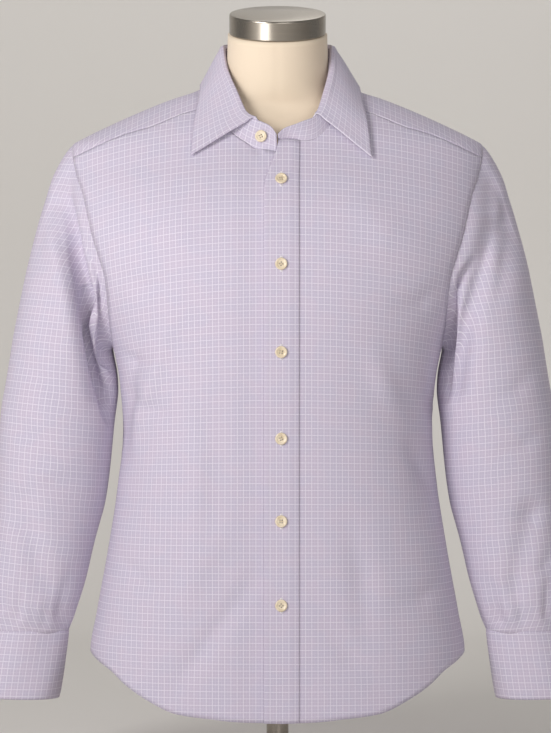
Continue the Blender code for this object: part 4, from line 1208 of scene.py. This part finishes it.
def ovalAt(along, turns):
    along = np.asarray(along, float).reshape(-1, 1)
    read = {c: sleeveCurve.at(c, along) for c in sleeveCurve.columns[1:]}
    x = (read["outX"] + read["inX"]) / 2 + (read["outX"] - read["inX"]) / 2 * np.cos(turns)
    z = (read["outZ"] + read["inZ"]) / 2 + (read["outZ"] - read["inZ"]) / 2 * np.cos(turns)
    y = read["y"] - read["halfDepth"] * np.sin(turns)
    return np.stack([x, y, z], axis=-1)


def ringTurns(ring):
    outer = np.array((0.2325, 0, 0.7025))
    inner = np.array((0.1865, 0, 0.4700))
    half = (outer - inner) / 2
    away = ring - (outer + inner) / 2
    return np.arctan2(-away[:, 1] / float(sleeveCurve.at("halfDepth", 0)), away @ half / (half @ half))


def levelSteps(points, axis):
    length = np.linalg.norm(np.diff(points, axis=1), axis=2)
    level = np.sqrt(np.maximum(length**2 - np.diff(points @ axis, axis=1) ** 2, 0))
    return np.concatenate([np.zeros((len(points), 1)), level], axis=1)


# Round the sleeve and down it, as its cloth lies flat: by the turn about its own middle line,
# with the length that the folds take up added from the outer line inwards
def sleeveFlat(plain, points, turns):
    axis = unit(np.array((0.055, 0.0, -0.545)))
    sideways = np.array((-axis[2], 0.0, axis[0]))
    along = sleeveCurve.rows[:, 0]
    outer = np.stack([sleeveCurve.at("outX", along), 0 * along, sleeveCurve.at("outZ", along)], axis=1)
    inner = np.stack([sleeveCurve.at("inX", along), 0 * along, sleeveCurve.at("inZ", along)], axis=1)
    down = plain @ axis
    outerAt = np.interp(down, outer @ axis, outer @ sideways)
    innerAt = np.interp(down, inner @ axis, inner @ sideways)
    depth = np.interp(down, outer @ axis, sleeveCurve.at("halfDepth", along))
    middleY = np.interp(down, outer @ axis, sleeveCurve.at("y", along))
    half = (outerAt - innerAt) / 2
    level = (plain @ sideways - (outerAt + innerAt) / 2) / half
    turned = np.arctan2(-(plain[..., 1] - middleY) / depth, level)
    wraps = np.round((turned - turns) / (2 * math.pi))
    around = (turned - wraps * 2 * math.pi) * np.sqrt((half**2 + depth**2) / 2)
    taken = np.cumsum(levelSteps(points, axis) - levelSteps(plain, axis), axis=1)
    taken = taken - taken[:, [int(np.argmin(np.abs(turns)))]]
    way = math.copysign(1, turns[len(turns) // 4 + 1] - turns[len(turns) // 4])
    return np.stack([around + way * taken, -down], axis=-1)


def makeSleeve(side, word):
    first, second, seam = armholeRing()
    turns = ringTurns(seam)
    ownCurve = seam - ovalAt(0, turns)[0]
    share = np.linspace(0, 1, sleeve["rings"] + 1)[1:]
    along = 0.025 + 0.975 * share
    rings = ovalAt(along, turns)
    fade = 1 - smoothStep(along / sleeve["ownCurve"])
    rings = rings + ownCurve[None] * fade[:, None, None]
    lastIn = (
        rings[-1]
        + (rings[-1].mean(axis=0) - rings[-1]) * 0.05
        + np.array((0.0006, 0, -sleeve["intoCuff"]))
    )
    coarse = np.concatenate([first[None], second[None], rings, lastIn[None]])
    gap = np.linalg.norm(np.diff(coarse, axis=0), axis=2).mean(axis=1)
    place = np.concatenate([[0], np.cumsum(gap)])
    rows = np.concatenate(
        [
            np.linspace(0, place[1], 3)[:-1],
            np.linspace(place[1], place[-2], sleeve["rings"] * fine),
            place[-1:],
        ]
    )
    points = through(place, coarse.reshape(len(coarse), -1), rows).reshape(len(rows), -1, 3)
    fraction = rows / place[-1]
    middleY = sleeveCurve.at("y", fraction)[:, None]
    ends = (smoothStep(fraction / 0.06) * smoothStep((1 - fraction) / 0.03))[:, None]
    frontSide = smoothStep(-(points[..., 1] - middleY) / 0.03)
    backSide = smoothStep((points[..., 1] - middleY) / 0.03)
    x = points[..., 0]
    z = points[..., 2]
    plain = points.copy()
    points[..., 1] += broadest(side * x, z) * frontSide * ends
    down = np.gradient(points, axis=0)
    around = np.gradient(points, axis=1)
    around[:, 0] = points[:, 1] - points[:, -2]
    around[:, -1] = around[:, 0]
    normals = unit(np.cross(around, down))
    middle = points.mean(axis=1, keepdims=True)
    if np.sum(normals * (points - middle)) < 0:
        normals = -normals
    own = leftSleeveFront if side > 0 else rightSleeveFront
    depth = pressed(side * x, z, own) * frontSide + pressed(x, z, sleeveBack) * backSide
    far = np.concatenate(
        [np.zeros((1, points.shape[1])), np.cumsum(np.linalg.norm(down[1:], axis=2), axis=0)]
    )
    lengthRound = np.concatenate([[0], np.cumsum(np.linalg.norm(np.diff(points[1], axis=0), axis=1))])
    ripple = rippled(far, lengthRound[None], panels["pucker"], 0.015)
    cuffDistance = (rows[-2] - rows)[:, None]
    pleats = 0.0016 * np.cos(turns * 9.0 + side)[None] * np.exp(-((cuffDistance / 0.030) ** 2))
    pleats = pleats * smoothStep((cuffDistance + 0.004) / 0.02)
    points = points + normals * (ripple - depth * ends + pleats)[..., None]
    points[:, -1] = points[:, 0]
    flat = sleeveFlat(plain, points, turns)
    flip = np.array((side, 1, 1))
    name = "sleeve_" + word
    mesh = gridMesh(name, [(points * flip, flat)])
    outwardLoop(mesh, points * flip)
    piece = addPiece(name, mesh, clothFinish, "shirting", name)
    shell = piece.modifiers.new("wall", "SOLIDIFY")
    shell.thickness = walls["panel"]
    shell.offset = -1
    shell.use_even_offset = False
    stitch(bodyEdge * flip, bodyEdgeNormals * flip)
    makeSleevePlacket(side, word, points, normals, turns)


# Turns the faces of a tube outwards, judged against the middle of each of its rings
def outwardLoop(mesh, points):
    bm = bmesh.new()
    bm.from_mesh(mesh)
    middles = points.mean(axis=1)
    order = np.argsort(middles[:, 2])
    heights = middles[order, 2]
    total = 0.0
    for face in bm.faces:
        at = face.calc_center_median()
        centre = [np.interp(at.z, heights, middles[order, k]) for k in range(2)]
        total += face.calc_area() * (face.normal.x * (at.x - centre[0]) + face.normal.y * (at.y - centre[1]))
    if total < 0:
        bmesh.ops.reverse_faces(bm, faces=bm.faces)
    bm.to_mesh(mesh)
    bm.free()


# Topstitching on the body side of the armhole
def armholeStitchLine():
    ring = np.concatenate([frontArmhole, shoulderEnd[1:], backArmhole[::-1][1:]])
    normals = bodyNormal(ring[:, 0], ring[:, 1])
    points = bodyPoint(ring[:, 0], ring[:, 1])
    along = np.gradient(points, axis=0)
    inward = -unit(np.cross(along, normals))
    awayFromHole = np.sign((inward * (points - points.mean(axis=0))).sum(axis=1, keepdims=True))
    return points + inward * awayFromHole * 0.0030, normals


sleevePlacket = {"long": 0.125, "edgeStitch": 0.0015}
cuff = {"overlap": math.radians(34), "opening": math.radians(-62), "edgeStitch": 0.0052}


def makeSleevePlacket(side, word, points, normals, turns):
    up = np.cumsum(np.linalg.norm(np.diff(points[::-1, 0], axis=0), axis=1))
    rows = int(np.searchsorted(up, sleevePlacket["long"])) + 1
    part = points[-rows - 1 : -1]
    facing = normals[-rows - 1 : -1]
    columns = np.flatnonzero(np.abs(turns - cuff["opening"] - 0.10) < 0.18)
    lifted = (part + (walls["lay"] + 0.0010) * facing)[:, columns]
    flip = np.array((side, 1, 1))
    sheet = lifted * flip
    centre = points[-rows // 2].mean(axis=0) * flip
    clothPiece(
        "sleeve_placket_" + word,
        [(sheet, lengthFlat(sheet))],
        0.0009,
        "sleeve_placket_" + word,
        tuple(centre),
        clothFinish,
    )
    out = facing[:, columns].mean(axis=(0, 1)) * flip
    for edge in ("left", "right", "top", "bottom"):
        line, turned = inFrom(sheet, edge, sleevePlacket["edgeStitch"])
        stitch(line, turned * np.sign(turned @ out)[:, None])


def cuffPoint(share, turn, out):
    read = {c: cuffCurve.at(c, np.asarray(share, float)) for c in cuffCurve.columns[1:]}
    halfX = (read["outX"] - read["inX"]) / 2
    halfZ = (read["outZ"] - read["inZ"]) / 2
    grow = (1 + out / np.hypot(halfX, halfZ)) * np.cos(turn)
    x = (read["outX"] + read["inX"]) / 2 + halfX * grow
    z = (read["outZ"] + read["inZ"]) / 2 + halfZ * grow
    y = read["y"] - (read["halfDepth"] + out) * np.sin(turn)
    return np.stack(np.broadcast_arrays(x, y, z), axis=-1)


def makeCuff(side, word):
    whole = 2 * math.pi + cuff["overlap"]
    step = np.linspace(0, 1, 26 * fine + 1)[None]
    share = np.linspace(0, 1, 4 * fine)[:, None]
    turn = cuff["opening"] - cuff["overlap"] + whole * step
    lapped = smoothStep((whole * step - 2 * math.pi + 0.5) / 0.4)
    rounding = 0.0007 * np.sin(np.pi * share) - 0.0007 * (2 * share - 1) ** 8
    dent = (
        0.0010 * np.sin(turn * 2 + 0.6) * np.sin(np.pi * share * 0.8 + 0.4)
        + 0.0006 * np.sin(turn * 5 + share * 3)
    )
    points = cuffPoint(share, turn, (walls["cuff"] + 0.0006) * lapped + rounding + dent)
    flip = np.array((side, 1, 1))
    points = points * flip
    mesh = gridMesh("cuff_" + word, [(points, lengthFlat(points))])
    outwardLoop(mesh, points)
    piece = addPiece("cuff_" + word, mesh, clothFinish, "shirting", "cuff_" + word)
    shell = piece.modifiers.new("wall", "SOLIDIFY")
    shell.thickness = walls["cuff"]
    shell.offset = -1
    shell.use_even_offset = False
    middle = points.mean(axis=(0, 1))
    for edge in ("top", "bottom", "left", "right"):
        line, turned = inFrom(points, edge, cuff["edgeStitch"])
        level = (line - middle) * np.array((1, 1, 0))
        stitch(line, turned * np.sign((turned * level).sum(axis=1, keepdims=True)))


bodyEdge, bodyEdgeNormals = armholeStitchLine()
for side, word in ((-1, "right"), (1, "left")):
    makeSleeve(side, word)
    makeCuff(side, word)
print("sleeves ready")

# Buttons


def buttonMesh():
    r = buttons["radius"]
    t = buttons["thick"]
    profile = [
        (0.0, t * 0.62),
        (r * 0.48, t * 0.62),
        (r * 0.60, t * 0.68),
        (r * 0.72, t * 0.94),
        (r * 0.80, t * 1.0),
        (r * 0.90, t * 0.96),
        (r * 0.985, t * 0.72),
        (r, t * 0.48),
        (r * 0.95, t * 0.18),
        (r * 0.82, 0.0),
        (0.0, 0.0),
    ]
    blank = turnedPiece("button_blank", profile, 48)
    bm = bmesh.new()
    for k in range(4):
        made = bmesh.ops.create_cone(
            bm, cap_ends=True, segments=12, radius1=r * 0.115, radius2=r * 0.115, depth=4 * t
        )
        turn = math.pi / 4 + k * math.pi / 2
        place = (r * 0.25 * math.cos(turn), r * 0.25 * math.sin(turn), t / 2)
        bmesh.ops.translate(bm, verts=made["verts"], vec=place)
    drillMesh = bpy.data.meshes.new("button_drill")
    bm.to_mesh(drillMesh)
    bm.free()
    drill = bpy.data.objects.new("button_drill", drillMesh)
    bpy.context.scene.collection.objects.link(drill)
    holes = blank.modifiers.new("holes", "BOOLEAN")
    holes.operation = "DIFFERENCE"
    holes.object = drill
    graph = bpy.context.evaluated_depsgraph_get()
    made = bpy.data.meshes.new_from_object(blank.evaluated_get(graph))
    bpy.data.objects.remove(blank)
    bpy.data.objects.remove(drill)
    return made


def turnedPiece(name, profile, steps):
    bm = bmesh.new()
    verts = [bm.verts.new((r, 0, z)) for r, z in profile]
    edges = [bm.edges.new(pair) for pair in zip(verts, verts[1:])]
    bmesh.ops.spin(
        bm,
        geom=verts + edges,
        cent=(0, 0, 0),
        axis=(0, 0, 1),
        angle=2 * math.pi,
        steps=steps,
        use_merge=True,
        use_duplicate=False,
    )
    bmesh.ops.remove_doubles(bm, verts=bm.verts, dist=0.00002)
    bmesh.ops.recalc_face_normals(bm, faces=bm.faces)
    mesh = bpy.data.meshes.new(name)
    bm.to_mesh(mesh)
    bm.free()
    mesh.shade_smooth()
    piece = bpy.data.objects.new(name, mesh)
    bpy.context.scene.collection.objects.link(piece)
    return piece


def facingMatrix(point, outward, spin=0.0):
    zAxis = unit(np.asarray(outward, float))
    xAxis = unit(np.cross((0, 0, 1), zAxis))
    yAxis = np.cross(zAxis, xAxis)
    turn = np.eye(4)
    turn[:3, 0] = xAxis * math.cos(spin) + yAxis * math.sin(spin)
    turn[:3, 1] = yAxis * math.cos(spin) - xAxis * math.sin(spin)
    turn[:3, 2] = zAxis
    turn[:3, 3] = point
    return turn


def addButton(name, base, point, outward, spin):
    turn = facingMatrix(point, outward, spin)
    mesh = base.copy()
    mesh.name = name
    mesh.transform(Matrix(turn.tolist()))
    mesh.shade_smooth()
    addPiece(name, mesh, ivoryFinish, "button", name)
    r = buttons["radius"] * 0.25 * math.cos(math.pi / 4)
    t = buttons["thick"]
    for row in (-1, 1):
        for strand in (-0.00026, 0.0, 0.00026):
            local = [
                (-r, -0.3 * t), (-r, 0.62 * t), (-0.4 * r, 0.80 * t),
                (0.4 * r, 0.80 * t), (r, 0.62 * t), (r, -0.3 * t),
            ]
            line = [turn[:3, :3] @ np.array((x, row * r + strand, z)) + turn[:3, 3] for x, z in local]
            buttonLines.append(np.array(line))


def makeButtons():
    base = buttonMesh()
    spins = (0.1, 0.7, -0.2, 0.4, 0.0, 0.9)
    lift = walls["lay"] + walls["folded"] + 0.0004
    for number, z in enumerate(buttons["heights"], start=1):
        z = np.array(z)
        angle = angleAt(np.array(buttons["x"]), z)
        point = bodyPoint(angle, z, lift)
        addButton(f"button_{number}", base, point, bodyNormal(angle, z), spins[number - 1])
    low, high = fine, 2 * fine
    corner = standPoints[fine : 2 * fine, low:high].mean(axis=(0, 1))
    across = standPoints[fine, high] - standPoints[fine, low]
    up = standPoints[2 * fine, low] - standPoints[fine, low]
    outward = unit(np.cross(up, across))
    outward = outward * math.copysign(1, -outward[1])
    addButton("button_stand", base, corner + outward * 0.0006, outward, 0.5)
    for side, word in ((-1, "right"), (1, "left")):
        turn = np.array(cuff["opening"] - 0.17)
        flip = np.array((side, 1, 1))
        place = cuffPoint(0.5, turn, walls["cuff"] + 0.0016)
        outward = place - cuffPoint(0.5, turn, -0.01)
        addButton("button_cuff_" + word, base, place * flip, outward * flip, 0.3)


makeButtons()
threads("stitching", seamLines, stitching["thick"], liningThread)
threads("buttonhole_thread", holeLines, placket["holeThread"], paleThread, 1)
threads("button_thread", buttonLines, 0.00019, buttonThread)
print("buttons and stitching ready")

# Dress form

form = {"sides": 96, "capRadius": 0.0545, "capThick": 0.0233, "lean": math.radians(17), "baseRadius": 0.140}


def formRows():
    heights = formCurve.rows[:, 0]
    counts = [max(2, round((b - a) / 0.006)) for a, b in zip(heights, heights[1:])]
    z = run(list(heights), counts)[:, None]
    turn = np.linspace(0, 2 * math.pi, form["sides"] + 1)[None]
    lean = np.radians(formCurve.at("lean", z))
    forward = formCurve.at("halfDepth", z) * np.cos(turn)
    x = formCurve.at("halfWidth", z) * np.sin(turn)
    seam = 0.0006 * np.exp(-((x / 0.0012) ** 2)) * (np.cos(turn) < 0)
    y = formCurve.at("y", z) + forward * np.cos(lean) + seam
    return np.stack([x, y, z + forward * np.sin(lean)], axis=-1)


def makeForm():
    points = formRows()
    mesh = gridMesh("form_body", [(points, lengthFlat(points))])
    bm = bmesh.new()
    bm.from_mesh(mesh)
    bmesh.ops.holes_fill(bm, edges=[e for e in bm.edges if e.is_boundary], sides=0)
    bmesh.ops.recalc_face_normals(bm, faces=bm.faces)
    bm.to_mesh(mesh)
    bm.free()
    addPiece("form_body", mesh, coverFinish, "form_cover", "form_body")

    r = form["capRadius"]
    t = form["capThick"]
    profile = [(0, t), (r - 0.0026, t), (r - 0.0009, t - 0.0004), (r - 0.0002, t - 0.0012), (r, t - 0.0022)]
    profile += [(r, t - 0.0026), (r, 0.0020), (r, 0.0016), (r - 0.0005, 0.0005), (r - 0.0016, 0.0), (0, 0)]
    cap = turnedPiece("form_cap", profile, 128)
    axis = np.array((0, -math.sin(form["lean"]), math.cos(form["lean"])))
    place = np.array((0, -0.022, 0.8258)) + axis * 0.0004
    turn = Matrix.Translation(tuple(place)) @ Matrix.Rotation(form["lean"], 4, "X")
    placeTurned(cap, turn, steelMaterial("brushed_steel_cap", form["lean"]), "form_cap")

    r = form["baseRadius"]
    profile = [(0, 0.010), (r - 0.0036, 0.010), (r - 0.0012, 0.0094), (r - 0.0002, 0.0080), (r, 0.0066)]
    profile += [(r, 0.0008), (r - 0.0008, 0.0), (0, 0)]
    steel = steelMaterial("brushed_steel", 0.0)
    placeTurned(turnedPiece("form_base", profile, 160), Matrix(), steel, "form_base")
    profile = [
        (0, 0.1198), (0.0125, 0.1198), (0.0125, 0.0122),
        (0.0140, 0.0104), (0.0140, 0.0100), (0, 0.0100),
    ]
    placeTurned(turnedPiece("form_post", profile, 64), Matrix(), steel, "form_post")


def placeTurned(piece, turn, finish, node):
    piece.data.transform(turn)
    piece.data.materials.clear()
    piece.data.materials.append(finish)
    piece.data.shade_smooth()
    piece.data.set_sharp_from_angle(angle=math.radians(35))
    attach(piece, "root")
    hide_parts(node)


makeForm()
print("dress form ready")

# Room, light and camera

room = {"floor": (0.80, 0.775, 0.745), "back": 1.3, "bend": 0.7, "half": 4.0, "high": 3.2}


def makeSweep():
    turn = np.linspace(0, math.pi / 2, 24)
    y = np.concatenate([[-5.0], room["back"] + room["bend"] * np.sin(turn), [room["back"] + room["bend"]]])
    z = np.concatenate([[-0.0004], -0.0004 + room["bend"] * (1 - np.cos(turn)), [room["high"]]])
    x = np.linspace(-room["half"], room["half"], 2)
    points = np.stack([x[None] + 0 * y[:, None], y[:, None] + 0 * x[None], z[:, None] + 0 * x[None]], axis=-1)
    mesh = gridMesh("sweep", [(points, lengthFlat(points))])
    made, wire, shader = newMaterial("sweep_paint", Roughness=0.95, Specular_IOR_Level=0.1)
    place = wire.node("ShaderNodeTexCoord", output=3)
    tone = wire.node("ShaderNodeTexNoise", inputs={"Vector": place, "Scale": 0.8})
    plug(shader, "Base Color", tone.mix(room["floor"], tuple(c * 0.99 for c in room["floor"])))
    fromBehind = wire.node("ShaderNodeNewGeometry", output=6)
    plug(shader, "Alpha", 1 - fromBehind)  # the paint has no back, so the shirt can be looked at from there
    mesh.materials.append(made)
    piece = bpy.data.objects.new("sweep", mesh)
    bpy.context.scene.collection.objects.link(piece)


def addLight(name, place, aim, size, power, colour, spread=180):
    lamp = bpy.data.lights.new(name, "AREA")
    lamp.shape = "RECTANGLE"
    lamp.size, lamp.size_y = size
    lamp.energy = power
    lamp.color = colour
    lamp.spread = math.radians(spread)
    holder = bpy.data.objects.new(name, lamp)
    bpy.context.scene.collection.objects.link(holder)
    turn = facingMatrix(place, np.array(place) - np.array(aim))
    holder.matrix_world = Matrix(turn.tolist())


def makeLight():
    addLight("key", (-2.1, -2.6, 1.45), (0, 0, 0.42), (1.3, 1.5), 69.0, (1.0, 0.985, 0.965))
    addLight("front", (0.9, -3.6, 0.7), (0, 0, 0.35), (2.0, 1.6), 25.0, (1.0, 0.99, 0.98))
    addLight("strip", (-0.65, -1.02, 0.25), (0, -0.05, 0.84), (0.44, 0.30), 0.20, (1.0, 0.99, 0.98), 50)
    addLight("floor", (0.5, 1.1, 2.4), (0.35, 0.9, 0), (1.6, 1.2), 8.0, (1.0, 0.99, 0.97))
    world = bpy.data.worlds.new("soft_room")
    world.use_nodes = True
    world.node_tree.nodes["Background"].inputs["Color"].default_value = (1.0, 0.985, 0.97, 1.0)
    world.node_tree.nodes["Background"].inputs["Strength"].default_value = 0.28
    bpy.context.scene.world = world


def makeCamera():
    lens = bpy.data.cameras.new("camera")
    lens.lens = 129.3
    lens.sensor_width = 36.0
    lens.clip_end = 60.0
    camera = bpy.data.objects.new("camera", lens)
    camera.location = (-0.0023, -3.0, 0.45)
    camera.rotation_euler = (math.pi / 2, 0, 0)
    bpy.context.scene.collection.objects.link(camera)
    bpy.context.scene.camera = camera


makeSweep()
makeLight()
makeCamera()
bpy.context.scene.view_settings.view_transform = "Standard"
print("scene ready")
